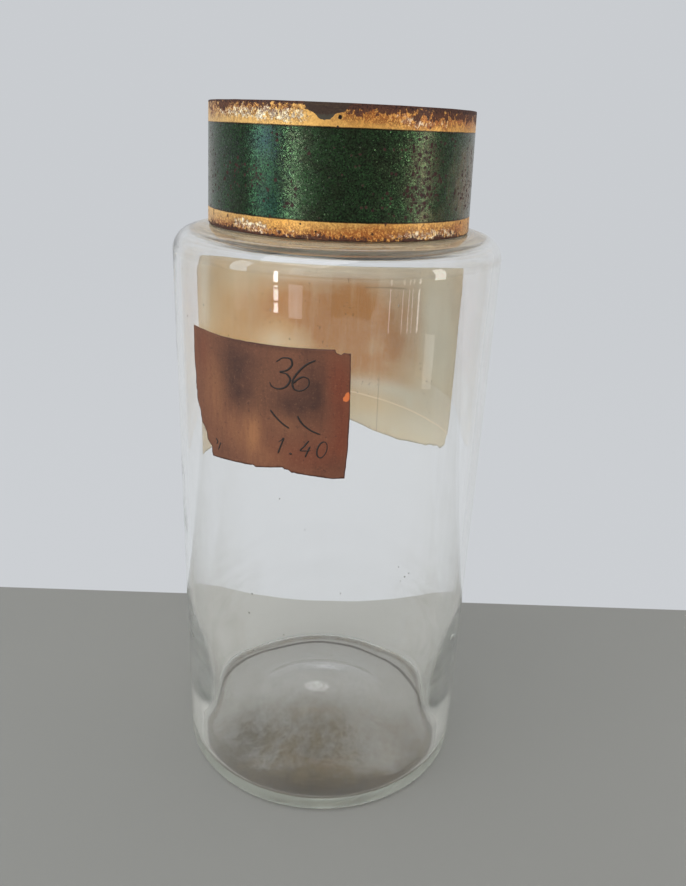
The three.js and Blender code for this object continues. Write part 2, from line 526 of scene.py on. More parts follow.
bubble_v, bubble_f = [], []
for _ in range(34):
    phi = rng.uniform(-math.pi, math.pi)
    z = rng.uniform(14, 236)
    r = outer_r(phi, z) - wall_t(z) * rng.uniform(0.35, 0.6)
    size = rng.uniform(0.10, 0.26)
    tall = rng.uniform(1.2, 2.6)
    out = np.array(around(phi, 1.0, 0.0))
    side = np.array(around(phi + math.pi / 2, 1.0, 0.0))
    bubble(
        np.array(around(phi, r, z)),
        (out * size, side * size, np.array((0, 0, size * tall))),
        bubble_v,
        bubble_f,
    )
for _ in range(30):
    phi, r = rng.uniform(-math.pi, math.pi), rng.uniform(6, 52)
    zf = float(
        np.interp(
            r, [p[0] for p in outer_bottom[:56]], [p[1] for p in outer_bottom[:56]]
        )
    )
    size = rng.uniform(0.12, 0.36)
    bubble(
        np.array(around(phi, r, zf + rng.uniform(1.1, 2.3))),
        (
            np.array((size, 0, 0)),
            np.array((0, size, 0)),
            np.array((0, 0, size * 0.8)),
        ),
        bubble_v,
        bubble_f,
    )

jar = mesh_object("jar_glass", verts, faces, "jar", ("glass_jar",))
bm = bmesh.new()
bm.from_mesh(jar.data)
new = [bm.verts.new((x * MM, y * MM, z * MM)) for x, y, z in bubble_v]
for f in bubble_f:
    bm.faces.new([new[k] for k in f]).smooth = True
bm.to_mesh(jar.data)
bm.free()
n_bubble = len(bubble_v)

# dust and grime on the glass, by place: 0 clean, 1 thick
rr = np.hypot(pos[:, 0], pos[:, 1])
zz = pos[:, 2]
ph = np.arctan2(pos[:, 0], -pos[:, 1])
film = np.zeros(len(pos))  # pale dust
# besides the brown dirt, this also holds painted shade in the inner corner and under the front of the foot
soil_and_shade = np.zeros(len(pos))  # brown dirt left on the floor of the jar


def soft_spot(x, y, cx, cy, rx, ry, seed):
    w = np.array(
        [
            1 + 0.40 * fractal(a / 15, b / 15, 0.0, 4, seed)
            for a, b in zip(x, y, strict=True)
        ]
    )
    return np.exp(-(((x - cx) / rx) ** 2 + ((y - cy) / ry) ** 2) * w)


floor_in = (inside > 0.5) & (zz < 16) & (rr < 61.5)
fx, fy, fr = pos[floor_in, 0], pos[floor_in, 1], rr[floor_in]
dirt = 0.11 + 0.10 * smooth(2, -18, fy)
dirt = dirt + 0.11 * soft_spot(fx, fy, -4.0, -35.0, 28.0, 18.0, 101.0)
dirt = dirt + 0.09 * soft_spot(fx, fy, -39.0, -28.0, 15.0, 15.0, 105.0)
dirt = dirt + 0.06 * soft_spot(fx, fy, 47.0, -25.0, 10.0, 12.0, 115.0)
dirt = dirt + 0.14 * smooth(-40, -53, fy) + 0.03 * smooth(50, 58, fr) * smooth(-12, -40, fy)
soil_and_shade[floor_in] = dirt * smooth(61.5, 58.5, fr)
# dust packed into the inner corner, deepened there as painted shade; and the scuffed, dirty foot underneath, heavier
# at the front as painted contact shadow
corner = (inside > 0.5) & (zz < 8) & (rr > 56.5)
soil_and_shade[corner] += 0.20 * smooth(56.5, 59.5, rr[corner]) * smooth(62.6, 60.5, rr[corner])
foot_under = (inside < 0.5) & (zz < 2.6) & (rr > 46)
soil_and_shade[foot_under] += (
    (0.05 + 0.20 * smooth(-6.0, -46.0, pos[foot_under, 1]))
    * smooth(47.0, 57.0, rr[foot_under])
    * smooth(68.6, 66.5, rr[foot_under])
)
# a thin haze on the inside of the lower wall
low_wall = (inside > 0.5) & (zz > 6.5) & (zz < 100) & (rr > 60)
film[low_wall] += (
    0.075
    * smooth(98.0, 45.0, zz[low_wall])
    * (
        0.12
        + 0.88
        * smooth(35.0, 60.0, np.abs(np.degrees(ph[low_wall])))
        * smooth(150.0, 115.0, np.abs(np.degrees(ph[low_wall])))
    )
)
dark_dirt = np.zeros(len(pos))  # greyer, darker dirt
dark_dirt[floor_in] = 0.7 * soft_spot(fx, fy, -38.0, -26.0, 15.0, 13.0, 105.0) + 1.0 * soft_spot(
    fx, fy, 0.0, -56.0, 34.0, 8.0, 113.0
)
shoulder = (inside < 0.5) & (zz > 244) & (rr > 50.4)
film[shoulder] += 0.47 * smooth(251.6, 253.9, zz[shoulder]) * smooth(
    64, 58, rr[shoulder]
)
film[shoulder] += 0.03
sides = (inside < 0.5) & (zz > 3) & (zz < 246)
film[sides] += (
    0.035
    * smooth(45.0, 75.0, np.abs(np.degrees(ph[sides])))
    * smooth(140.0, 110.0, np.abs(np.degrees(ph[sides])))
)
# the dark line under the foot, partly dirt and partly painted contact shadow, stronger at the sides and back: its
# radius by angle, and how strong it is
RING = (
    (-180, 57.5), (-173, 57.6), (-158, 57.3), (-143, 57.9), (-132, 57.2), (-117, 57.7),
    (-107, 59.1), (-100, 60.6), (-92, 62.0), (-60, 60.0), (60, 60.0), (90, 60.6),
    (98, 57.2), (109, 54.6), (125, 53.4), (140, 54.4), (150, 55.7), (159, 56.5),
    (170, 57.0), (180, 57.5),
)
ring_r = np.interp(np.degrees(ph), [t[0] for t in RING], [t[1] for t in RING])
ring_a = 0.25 + 0.75 * smooth(75.0, 92.0, np.abs(np.degrees(ph)))
float_attribute(jar, "ring_r", np.concatenate([ring_r, np.zeros(n_bubble)]))
float_attribute(jar, "ring_a", np.concatenate([ring_a, np.zeros(n_bubble)]))
float_attribute(jar, "dark_dirt", np.concatenate([dark_dirt, np.zeros(n_bubble)]))
float_attribute(jar, "film", np.concatenate([film, np.zeros(n_bubble)]))
float_attribute(jar, "soil_and_shade", np.concatenate([soil_and_shade, np.zeros(n_bubble)]))

g = Mat("jar_glass")
zmm = g.mul(g.z, 1000.0)
radius = g.mul(g.math("SQRT", g.add(g.mul(g.x, g.x), g.mul(g.y, g.y))), 1000.0)
turn = g.math("ARCTAN2", g.x, g.mul(g.y, -1.0))
polar = g.new("ShaderNodeCombineXYZ")
g.link(g.mul(radius, 1 / 0.75), polar.inputs[0])
g.link(g.mul(turn, 2.2), polar.inputs[1])
rings = g.noise(1.0, 4.0, 0.6, vector=polar.outputs[0])
film_a, soil_and_shade_a = g.attr("film"), g.attr("soil_and_shade")
cloud = g.noise(17.0, 4.0, 0.6, seed=2)
fine = g.noise(1.5, 4.0, 0.7, seed=3)
grain = g.noise(0.55, 2.0, 0.6, seed=8)
film_m = g.mul(film_a, g.step(0.30, 0.68, rings, 0.35, 1.55))
film_m = g.mul(film_m, g.step(0.2, 0.8, cloud, 0.6, 1.4))
patchy = g.noise(6.0, 5.0, 0.65, seed=4)
soil_and_shade_m = g.mul(soil_and_shade_a, g.step(0.28, 0.72, patchy, 0.87, 1.13))
soil_and_shade_m = g.mul(soil_and_shade_m, g.step(0.30, 0.70, fine, 0.93, 1.07))
speckle = g.noise(0.42, 1.0, 0.5, seed=9)
soil_and_shade_m = g.add(soil_and_shade_m, g.mul(g.mul(g.step(0.66, 0.74, speckle), soil_and_shade_a), 1.2))
# the worn ring that the jar stands on holds a thin line of dirt, darkened further as a painted contact shadow
ring_w = g.math(
    "ABSOLUTE", g.sub(g.add(radius, g.mul(g.sub(fine, 0.5), 0.8)), g.attr("ring_r"))
)
foot_dirt_and_shade = g.mul(g.step(1.25, 0.30, ring_w), g.step(0.65, 0.35, zmm))
foot_dirt_and_shade = g.mul(foot_dirt_and_shade, g.mul(g.step(0.25, 0.6, cloud, 0.6, 0.95), g.attr("ring_a")))
# single specks stuck to the wall, and loose crumbs on the floor
crumb = g.cells(3.4, seed=5)
pick = g.new("ShaderNodeSeparateColor")
g.link(crumb.outputs["Color"], pick.inputs[0])
crumbs = g.mul(
    g.step(0.125, 0.06, crumb.outputs["Distance"]),
    g.step(0.0, 0.05, g.sub(g.mul(g.math("MINIMUM", soil_and_shade_a, 0.35), 0.55), pick.outputs[0])),
)
specks = crumbs
for az, z, size in (
    (-60.2, 239.6, 0.30),
    (-57.2, 222.1, 0.34),
    (-46.2, 228.9, 0.26),
    (-26.1, 112.2, 0.34),
    (-27.4, 102.4, 0.36),
    (-25.6, 84.0, 0.30),
    (-14.0, 96.0, 0.22),
    (28.5, 122.1, 0.34),
    (30.1, 123.3, 0.26),
    (26.9, 120.6, 0.20),
    (63.0, 205.0, 0.30),
    (140.0, 60.0, 0.40),
    (97.0, 150.0, 0.34),
    (205.0, 96.0, 0.30),
    (262.0, 44.0, 0.42),
):
    far_off = g.new("ShaderNodeVectorMath", operation="DISTANCE")
    g.link(g.obj, far_off.inputs[0])
    a = math.radians(az)
    far_off.inputs[1].default_value = tuple(
        c * MM for c in around(a, outer_r(a, z), z)
    )
    d_mm = g.add(g.mul(far_off.outputs["Value"], 1000.0), g.mul(fine, 0.25))
    specks = g.most(specks, g.step(size + 0.22, size - 0.02, d_mm))
film_all = g.math(
    "MINIMUM",
    g.most(g.add(film_m, g.mul(soil_and_shade_m, 0.30)), g.most(foot_dirt_and_shade, g.mul(specks, 0.85))),
    0.92,
)
dust = g.mix(cloud, rgb(202, 186, 156), rgb(168, 150, 122))
dust = g.mix(g.step(200.0, 120.0, zmm), dust, rgb(182, 178, 166))
brown = g.mix(g.step(0.30, 0.66, patchy), rgb(86, 74, 57), rgb(118, 101, 76))
brown = g.mix(g.step(0.68, 0.76, speckle), brown, rgb(226, 214, 190))
brown = g.mix(g.step(0.34, 0.26, speckle), brown, rgb(52, 44, 36))
brown = g.mix(
    g.math("MULTIPLY", g.attr("dark_dirt"), 0.8, clamp=True), brown, rgb(64, 60, 54)
)
dirt_and_shade_colour = g.mix(g.step(0.0, 0.01, soil_and_shade_a), dust, brown)
# the dark line at the foot ring is painted contact shadow as well as dirt
dirt_and_shade_colour = g.mix(g.most(foot_dirt_and_shade, specks), dirt_and_shade_colour, rgb(48, 44, 38))
g.set(
    Base_Color=g.mix(
        g.math(
            "ADD",
            g.mul(g.most(film_m, g.most(foot_dirt_and_shade, specks)), 5.0),
            g.mul(soil_and_shade_m, 3.0),
            clamp=True,
        ),
        rgb(255, 255, 255),
        dirt_and_shade_colour,
    ),
    Transmission_Weight=g.sub(1.0, film_all),
    Roughness=g.add(g.mul(film_all, 0.25), g.mul(g.math("MINIMUM", soil_and_shade_m, 0.3), 0.2)),
    IOR=1.5,
)
# long soft waves of hand-blown glass, drawn upwards
drawn = g.noise(1.0, 2.0, 0.5, vector=g.scaled(1 / 7, 1 / 7, 1 / 110))
swirl = g.noise(38.0, 1.0, 0.5, seed=11, distort=0.4)
n1 = g.bump(drawn, 0.05, 0.30)
g.set(Normal=g.bump(swirl, 0.10, 1.0, n1))
light_path = g.new("ShaderNodeLightPath")
clear = g.new("ShaderNodeBsdfTransparent")
clear.inputs[0].default_value = (1.0, 1.0, 1.0, 1.0)
mixer = g.new("ShaderNodeMixShader")
g.link(light_path.outputs["Is Shadow Ray"], mixer.inputs[0])
g.link(g.p.outputs[0], mixer.inputs[1])
g.link(clear.outputs[0], mixer.inputs[2])
g.link(mixer.outputs[0], g.out.inputs["Surface"])
absorb = g.new("ShaderNodeVolumeAbsorption")
absorb.inputs["Color"].default_value = (0.79, 0.81, 0.75, 1.0)
absorb.inputs["Density"].default_value = 18.0
g.link(absorb.outputs[0], g.out.inputs["Volume"])
jar.data.materials.append(g.m)

# ------------------------------------------------------------------ tin lid


def lid_r(z):
    return LID_R_BOTTOM + (LID_R_TOP - LID_R_BOTTOM) * (z - LID_BOTTOM) / (
        LID_TOP - LID_BOTTOM
    )


def lid_dent(phi, z):
    s, c = math.sin(phi), math.cos(phi)
    return (
        0.10 * perlin(s * 2.2, c * 2.2, z / 40, 21.0)
        + 0.03 * perlin(s * 7.0, c * 7.0, z / 13, 23.0)
        - 0.05
    )


HEM_T = 2 * TIN + 0.12
HEM_TOP = LID_BOTTOM + 5.4
band = (
    spline(
        [
            (LID_R_BOTTOM - 0.52, LID_BOTTOM),
            (LID_R_BOTTOM - 0.20, LID_BOTTOM + 0.08),
            (LID_R_BOTTOM - 0.03, LID_BOTTOM + 0.40),
            (lid_r(LID_BOTTOM + 1.2), LID_BOTTOM + 1.2),
        ],
        0.12,
    )[:-1]
    + straight(
        (lid_r(LID_BOTTOM + 1.2), LID_BOTTOM + 1.2),
        (lid_r(LID_TOP - 0.6), LID_TOP - 0.6),
        1.2,
    )
    + spline(
        [
            (lid_r(LID_TOP - 0.6), LID_TOP - 0.6),
            (lid_r(LID_TOP) - 0.05, LID_TOP - 0.12),
            (lid_r(LID_TOP) - 0.22, LID_TOP),
            (lid_r(LID_TOP) - 0.40, LID_TOP - 0.10),
            (lid_r(LID_TOP) - TIN, LID_TOP - 0.5),
        ],
        0.1,
    )[:-1]
    + straight(
        (lid_r(LID_TOP) - TIN, LID_TOP - 0.5),
        (lid_r(HEM_TOP + 0.3) - TIN, HEM_TOP + 0.3),
        2.0,
    )
    + spline(
        [
            (lid_r(HEM_TOP + 0.3) - TIN, HEM_TOP + 0.3),
            (lid_r(HEM_TOP) - TIN - 0.15, HEM_TOP + 0.02),
            (lid_r(HEM_TOP) - HEM_T + 0.12, HEM_TOP),
            (lid_r(HEM_TOP) - HEM_T, HEM_TOP - 0.3),
            (lid_r(LID_BOTTOM + 1.2) - HEM_T, LID_BOTTOM + 1.2),
            (LID_R_BOTTOM - HEM_T + 0.03, LID_BOTTOM + 0.40),
            (LID_R_BOTTOM - HEM_T + 0.20, LID_BOTTOM + 0.08),
            (LID_R_BOTTOM - 0.52, LID_BOTTOM),
        ],
        0.35,
    )[:-1]
)


def band_shape(phi, r, z, i):
    edge = 0.05 * perlin(math.sin(phi) * 9, math.cos(phi) * 9, 0.0, 31.0)
    z2 = z
    if z < LID_BOTTOM + 0.6:
        z2 = z + 0.06 + edge
    elif z > LID_TOP - 0.6:
        z2 = z - 0.05 + edge
    # the lap seam at the back: a step of one sheet
    deg = math.degrees(phi) % 360
    lap = smooth(176.6, 177.4, deg) * (1 - smooth(185.6, 186.2, deg))
    if r > lid_r(z) - 0.3 and LID_BOTTOM + 0.5 < z < LID_TOP - 0.4:
        r += 0.42 * lap
    return r + lid_dent(phi, z), z2


verts_band, faces, index = revolve(band, 400, band_shape)
lid_band = mesh_object(
    "lid_band_tin", verts_band, faces, "lid", ("lid_band",)
)

DISC_TOP = LID_TOP - 1.0
DISC_R = lid_r(DISC_TOP) - TIN - 0.16
disc = (
    straight((0, DISC_TOP - TIN + 0.35), (DISC_R - 2.2, DISC_TOP - TIN), 2.0)
    + spline(
        [
            (DISC_R - 2.2, DISC_TOP - TIN),
            (DISC_R - 1.1, DISC_TOP - TIN - 0.08),
            (DISC_R - TIN - 0.1, DISC_TOP - TIN - 0.5),
            (DISC_R - TIN, DISC_TOP - 1.6),
        ],
        0.2,
    )[:-1]
    + straight((DISC_R - TIN, DISC_TOP - 1.6), (DISC_R - TIN, DISC_TOP - 5.0), 1.0)
    + straight((DISC_R - TIN, DISC_TOP - 5.0), (DISC_R, DISC_TOP - 5.0), 0.3)
    + straight((DISC_R, DISC_TOP - 5.0), (DISC_R, DISC_TOP - 1.2), 1.0)
    + spline(
        [
            (DISC_R, DISC_TOP - 1.2),
            (DISC_R - 0.15, DISC_TOP - 0.45),
            (DISC_R - 0.6, DISC_TOP - 0.08),
            (DISC_R - 1.6, DISC_TOP),
        ],
        0.15,
    )[:-1]
    + straight((DISC_R - 1.6, DISC_TOP), (0, DISC_TOP + 0.35), 2.0)
    + [(0, DISC_TOP + 0.35)]
)


def disc_shape(phi, r, z, i):
    k = smooth(DISC_R - 1, DISC_R - 14, r)
    x, y = math.sin(phi) * r, math.cos(phi) * r
    return r, z + k * (0.22 * perlin(x / 24, y / 24, 0.0, 41.0))


verts, faces, index = revolve(disc, 256, disc_shape)
lid_disc = mesh_object(
    "lid_top_tin", verts, faces, "lid", ("lid_top",)
)


def bead_shape(phi, r, z, i):
    s, c = math.sin(phi), math.cos(phi)
    return r + 0.07 * perlin(s * 24, c * 24, z, 51.0), z + 0.12 * perlin(
        s * 17, c * 17, 0, 53.0
    )


s_top = DISC_TOP - 5.2
bead = spline(
    [
        (DISC_R - 0.95, s_top),
        (DISC_R - 0.72, s_top - 0.75),
        (DISC_R - 0.30, s_top - 1.35),
        (DISC_R + 0.02, s_top - 1.7),
        (DISC_R + 0.05, s_top - 0.8),
        (DISC_R + 0.03, s_top - 0.02),
        (DISC_R - 0.5, s_top + 0.03),
        (DISC_R - 0.95, s_top),
    ],
    0.25,
)[:-1]
verts, faces, index = revolve(bead, 320, bead_shape)
rim_solder = mesh_object(
    "lid_rim_solder_bead", verts, faces, "lid", ("lid_rim_solder",)
)

# the seam's solder: a thin uneven strip beside the lap's free end
verts, faces = [], []
N_H, N_W = 60, 5
for k in range(N_H + 1):
    z = LID_BOTTOM + 1.0 + (LID_TOP - LID_BOTTOM - 2.0) * k / N_H
    width = 1.5 + 0.5 * perlin(0.0, z / 5, 0.0, 61.0)
    for side in (0, 1):
        for w in range(N_W + 1):
            t = w / N_W
            phi = math.radians(186.1) + t * width / 53.0
            lift = 0.36 * (1 - t) ** 0.7 + 0.04 if side else 0.0
            r = lid_r(z) + lid_dent(phi, z) + 0.015 + lift
            r += 0.03 * perlin(t * 3, z / 3, 0.0, 63.0) * side
            verts.append(around(phi, r, z))
row = 2 * (N_W + 1)
for k in range(N_H):
    a, b = k * row, (k + 1) * row
    for w in range(N_W):
        faces.append((a + w, b + w, b + w + 1, a + w + 1))
        t = a + N_W + 1 + w
        faces.append((t, t + 1, t + 1 + row, t + row))
    faces.append((a, a + N_W + 1, b + N_W + 1, b))
    faces.append((a + N_W, b + N_W, b + row - 1, a + row - 1))
for a in (0, N_H * row):
    for w in range(N_W):
        faces.append((a + w, a + w + 1, a + N_W + 2 + w, a + N_W + 1 + w))
seam_solder = mesh_object(
    "lid_seam_solder_strip", verts, faces, "lid", ("lid_seam_solder",)
)


def tin_colours(m):
    """Noises and colours of lacquered and gilded tin, worn and rusty."""
    zmm = m.mul(m.z, 1000.0)
    grain = m.noise(0.7, 3.0, 0.65, seed=1)
    blotch = m.noise(7.0, 4.0, 0.6, seed=2)
    wide = m.noise(30.0, 3.0, 0.5, seed=3)
    crystal = m.cells(0.40, seed=4)
    pick = m.new("ShaderNodeSeparateColor")
    m.link(crystal.outputs["Color"], pick.inputs[0])
    # green lacquer over tin, with its crystalline sparkle
    green = m.mix(pick.outputs[0], rgb(50, 58, 46), rgb(66, 100, 62))
    green = m.mix(m.mul(m.step(0.42, 0.70, blotch), 0.60), green, rgb(54, 56, 42))
    green = m.mix(m.mul(m.step(0.48, 0.60, grain), 0.68), green, rgb(26, 25, 21))
    # gold lacquer
    gold = m.mix(m.step(0.3, 0.75, wide), rgb(232, 172, 84), rgb(238, 188, 108))
    gold = m.mix(m.mul(m.step(0.50, 0.72, grain), 0.40), gold, rgb(170, 106, 52))
    flecks = m.mul(m.step(0.43, 0.57, grain), m.step(265.0, 257.0, zmm))
    gold = m.mix(m.mul(flecks, 0.60), gold, rgb(124, 68, 34))
    rust = m.mix(m.step(0.3, 0.7, grain), rgb(42, 26, 23), rgb(88, 54, 40))
    # every crystal of the tin under the lacquer faces its own way, a few of them far off
    turn_away = m.new("ShaderNodeVectorMath", operation="SUBTRACT")
    m.link(crystal.outputs["Color"], turn_away.inputs[0])
    turn_away.inputs[1].default_value = (0.5, 0.5, 0.5)
    weak = m.new("ShaderNodeVectorMath", operation="SCALE")
    m.link(turn_away.outputs[0], weak.inputs[0])
    m.link(
        m.math("MULTIPLY_ADD", m.math("POWER", pick.outputs[1], 9.0), 0.60, 0.12),
        weak.inputs["Scale"],
    )
    geo_n = m.new("ShaderNodeNewGeometry")
    tilted = m.new("ShaderNodeVectorMath", operation="ADD")
    m.link(geo_n.outputs["Normal"], tilted.inputs[0])
    m.link(weak.outputs[0], tilted.inputs[1])
    unit = m.new("ShaderNodeVectorMath", operation="NORMALIZE")
    m.link(tilted.outputs[0], unit.inputs[0])
    return zmm, grain, blotch, wide, pick, green, gold, rust, unit.outputs[0]


def lid_spots(points, items):
    """Sum of soft spots (angle in degrees, z, half width, half height in mm, amount)."""
    out = np.zeros(len(points))
    deg = np.degrees(np.arctan2(points[:, 0], -points[:, 1]))
    wob = np.array([fractal(*(p / 5.0), 3, 111.0) for p in points])
    for az, z, w, h, amount in items:
        d = (deg - az + 180.0) % 360.0 - 180.0
        q = (d * 0.927 / w) ** 2 + ((points[:, 2] - z) / h) ** 2
        out += amount * np.exp(-q * (1 + 0.6 * wob))
    return np.clip(out, 0, 1)


band_pts = np.array(verts_band)
band_deg = np.degrees(np.arctan2(band_pts[:, 0], -band_pts[:, 1]))
band_z = band_pts[:, 2]
float_attribute(
    lid_band,
    "rusty",
    0.05
    + lid_spots(
        band_pts,
        [
            (-44.0, 277.5, 6.0, 4.5, 0.60),
            (-34.0, 273.5, 6.0, 4.5, 0.70),
            (-52.0, 271.0, 8.0, 7.0, 0.30),
            (-25.0, 289.0, 3.0, 2.5, 0.55),
            (-20.0, 266.8, 2.4, 2.2, 0.9),
            (30.0, 284.0, 4.5, 5.0, 0.85),
            (37.5, 283.5, 4.5, 5.5, 0.90),
            (33.0, 275.0, 6.0, 6.0, 0.95),
            (31.0, 267.0, 5.0, 4.5, 0.85),
            (40.0, 273.0, 4.0, 6.0, 0.60),
            (15.0, 267.5, 6.0, 5.0, 0.45),
            (5.0, 284.0, 9.0, 4.0, 0.22),
            (47.0, 288.0, 6.0, 3.0, 0.45),
            (60.0, 270.0, 9.0, 8.0, 0.55),
            (72.0, 276.0, 8.0, 12.0, 0.65),
            (-70.0, 272.0, 7.0, 14.0, 0.25),
            (98.0, 283.0, 9.0, 6.0, 0.50),
            (128.0, 270.0, 8.0, 7.0, 0.60),
            (158.0, 281.0, 10.0, 6.0, 0.50),
            (188.0, 274.0, 3.0, 16.0, 0.75),
            (214.0, 268.0, 10.0, 6.0, 0.60),
            (243.0, 284.0, 8.0, 6.0, 0.50),
            (268.0, 272.0, 9.0, 8.0, 0.45),
        ],
    ),
)
# pale cream on the gilding: partly bleached, flaking gilding, partly a painted highlight on the two sides that face
# the lights
float_attribute(
    lid_band,
    "pale",
    lid_spots(
        band_pts,
        [
            (-66.0, 295.6, 8.0, 3.6, 0.62),
            (-54.0, 296.4, 8.0, 3.2, 0.62),
            (-43.0, 296.2, 8.0, 3.0, 0.80),
            (-32.0, 296.2, 8.0, 2.9, 0.95),
            (-22.0, 296.0, 7.0, 2.6, 0.95),
            (-15.0, 295.4, 4.0, 2.2, 0.70),
            (15.0, 295.6, 8.0, 2.2, 0.45),
            (24.0, 295.6, 5.0, 2.8, 0.85),
            (32.0, 294.4, 4.5, 2.2, 0.62),
            (42.0, 295.0, 8.0, 2.4, 0.60),
            (56.0, 295.4, 8.0, 2.2, 0.45),
            (-58.0, 257.4, 6.0, 2.0, 0.45),
            (-44.0, 258.4, 6.0, 2.2, 0.70),
            (-38.0, 257.8, 6.5, 2.8, 1.0),
            (-30.0, 257.2, 5.0, 2.4, 1.0),
            (-18.0, 256.4, 7.0, 1.8, 0.80),
            (-8.0, 255.9, 5.0, 1.4, 0.6),
            (4.0, 256.2, 6.0, 1.8, 0.50),
            (20.0, 257.0, 6.0, 2.6, 0.70),
            (31.0, 257.2, 6.0, 2.6, 1.0),
            (42.0, 257.0, 7.0, 2.4, 1.0),
            (52.0, 257.0, 6.0, 2.4, 0.8),
            (100.0, 296.0, 14.0, 2.4, 0.7),
            (118.0, 257.0, 12.0, 2.4, 0.9),
            (150.0, 295.5, 12.0, 2.4, 0.6),
            (165.0, 257.0, 10.0, 2.4, 0.7),
            (222.0, 296.0, 16.0, 2.4, 0.9),
            (238.0, 256.8, 12.0, 2.4, 0.8),
            (272.0, 295.8, 10.0, 2.4, 0.7),
        ],
    ),
)
float_attribute(
    lid_band,
    "warm",
    lid_spots(
        band_pts,
        [
            (8.0, 296.6, 10.0, 3.4, 0.85),
            (22.0, 296.6, 9.0, 3.2, 0.80),
            (36.0, 296.4, 9.0, 3.2, 0.80),
            (50.0, 296.4, 10.0, 3.2, 0.80),
            (66.0, 296.4, 9.0, 3.4, 0.80),
            (-66.0, 297.4, 9.0, 2.8, 0.60),
            (-50.0, 298.2, 9.0, 1.8, 0.55),
            (-34.0, 298.6, 9.0, 1.4, 0.50),
            (-20.0, 298.4, 6.0, 1.4, 0.50),
            (0.0, 257.0, 12.0, 2.8, 1.0),
            (14.0, 257.8, 8.0, 3.2, 0.90),
            (40.0, 258.4, 14.0, 3.0, 0.45),
            (60.0, 258.6, 8.0, 3.2, 0.75),
            (-56.0, 256.6, 9.0, 2.2, 0.75),
            (-30.0, 256.0, 12.0, 1.6, 0.70),
            (135.0, 296.5, 14.0, 2.6, 0.7),
            (200.0, 258.0, 14.0, 2.6, 0.7),
            (260.0, 258.0, 12.0, 2.6, 0.6),
        ],
    ),
)
# dark brown dirt over the gilding, thick towards the two edges
float_attribute(
    lid_band,
    "grime",
    lid_spots(
        band_pts,
        [
            (-70.0, 297.6, 7.0, 3.6, 0.85),
            (-57.0, 298.2, 6.0, 2.8, 0.95),
            (-44.0, 299.0, 8.0, 2.0, 0.85),
            (-33.0, 298.4, 5.0, 2.2, 0.60),
            (-22.0, 299.0, 8.0, 1.8, 0.85),
            (5.0, 297.6, 6.0, 3.0, 1.0),
            (15.0, 298.4, 6.0, 2.3, 0.85),
            (25.0, 298.6, 6.0, 2.2, 0.85),
            (29.0, 296.0, 2.2, 2.6, 0.70),
            (36.0, 298.2, 6.0, 2.6, 0.90),
            (48.0, 298.0, 7.0, 2.8, 0.95),
            (62.0, 297.8, 8.0, 3.0, 0.95),
            (75.0, 297.6, 8.0, 3.4, 0.90),
            (-64.0, 256.0, 8.0, 2.0, 0.80),
            (-50.0, 256.2, 7.0, 2.2, 0.85),
            (-36.0, 255.4, 7.0, 1.6, 0.70),
            (-20.0, 255.4, 9.0, 1.5, 0.70),
            (-6.0, 255.6, 8.0, 1.9, 0.80),
            (8.0, 256.0, 8.0, 2.4, 0.80),
            (22.0, 255.4, 6.0, 1.6, 0.60),
            (30.4, 255.6, 2.8, 1.6, 1.0),
            (44.0, 255.9, 3.2, 1.9, 1.0),
            (58.0, 255.9, 6.0, 2.4, 0.90),
            (76.0, 257.0, 9.0, 4.0, 0.75),
            (110.0, 299.0, 20.0, 2.0, 0.7),
            (130.0, 256.0, 20.0, 2.0, 0.7),
            (170.0, 299.0, 20.0, 2.0, 0.7),
            (200.0, 256.0, 20.0, 2.0, 0.8),
            (230.0, 299.0, 20.0, 2.0, 0.7),
            (262.0, 256.0, 16.0, 2.0, 0.7),
        ],
    ),
)
# a painted reflection of cool light, blue-green on the left of the green band; and where the lacquer is dull and
# brownish
float_attribute(
    lid_band,
    "painted_cool_reflection",
    lid_spots(
        band_pts,
        [
            (-30.0, 288.0, 6.0, 5.0, 0.75),
            (-27.0, 265.5, 6.0, 5.5, 0.95),
            (-26.0, 277.0, 4.0, 8.0, 0.45),
            (-48.0, 280.0, 14.0, 12.0, 0.25),
        ],
    ),
)
float_attribute(
    lid_band,
    "dull",
    lid_spots(
        band_pts,
        [
            (58.0, 272.0, 7.0, 12.0, 0.60),
            (70.0, 276.0, 10.0, 18.0, 1.0),
            (40.0, 262.0, 8.0, 4.0, 0.35),
            (34.0, 280.0, 6.0, 12.0, 0.30),
            (-74.0, 276.0, 9.0, 18.0, 0.50),
            (180.0, 276.0, 16.0, 18.0, 0.6),
        ],
    ),
)
# how far rust has come down from the top edge and up from the bottom edge, mm
TOP_RUST = (
    (-180, 0.9), (-150, 1.2), (-110, 0.8), (-78, 0.9), (-50, 0.9), (-38, 1.0),
    (-24, 0.85), (-15, 0.95), (3, 2.0), (9, 1.5), (16, 1.2), (24, 1.3), (33, 1.1),
    (42, 1.3), (52, 1.6), (60, 1.6), (78, 1.4), (110, 1.6), (150, 1.0), (180, 0.9),
)
BOTTOM_RUST = (
    (-180, 0.8), (-140, 1.2), (-100, 0.8), (-70, 0.9), (-55, 1.5), (-44, 1.6),
    (-36, 0.7), (-27, 0.9), (-16, 0.7), (-5, 0.6), (6, 0.9), (16, 0.5), (23, 0.6),
    (28, 1.5), (32, 1.1), (38, 0.5), (46, 1.3), (51, 1.1), (60, 0.5), (90, 0.9),
    (120, 1.3), (150, 0.7), (180, 0.8),
)
for name_, table in (("top_rust", TOP_RUST), ("bottom_rust", BOTTOM_RUST)):
    float_attribute(
        lid_band,
        name_,
        np.interp(band_deg, [t[0] for t in table], [t[1] for t in table]),
    )
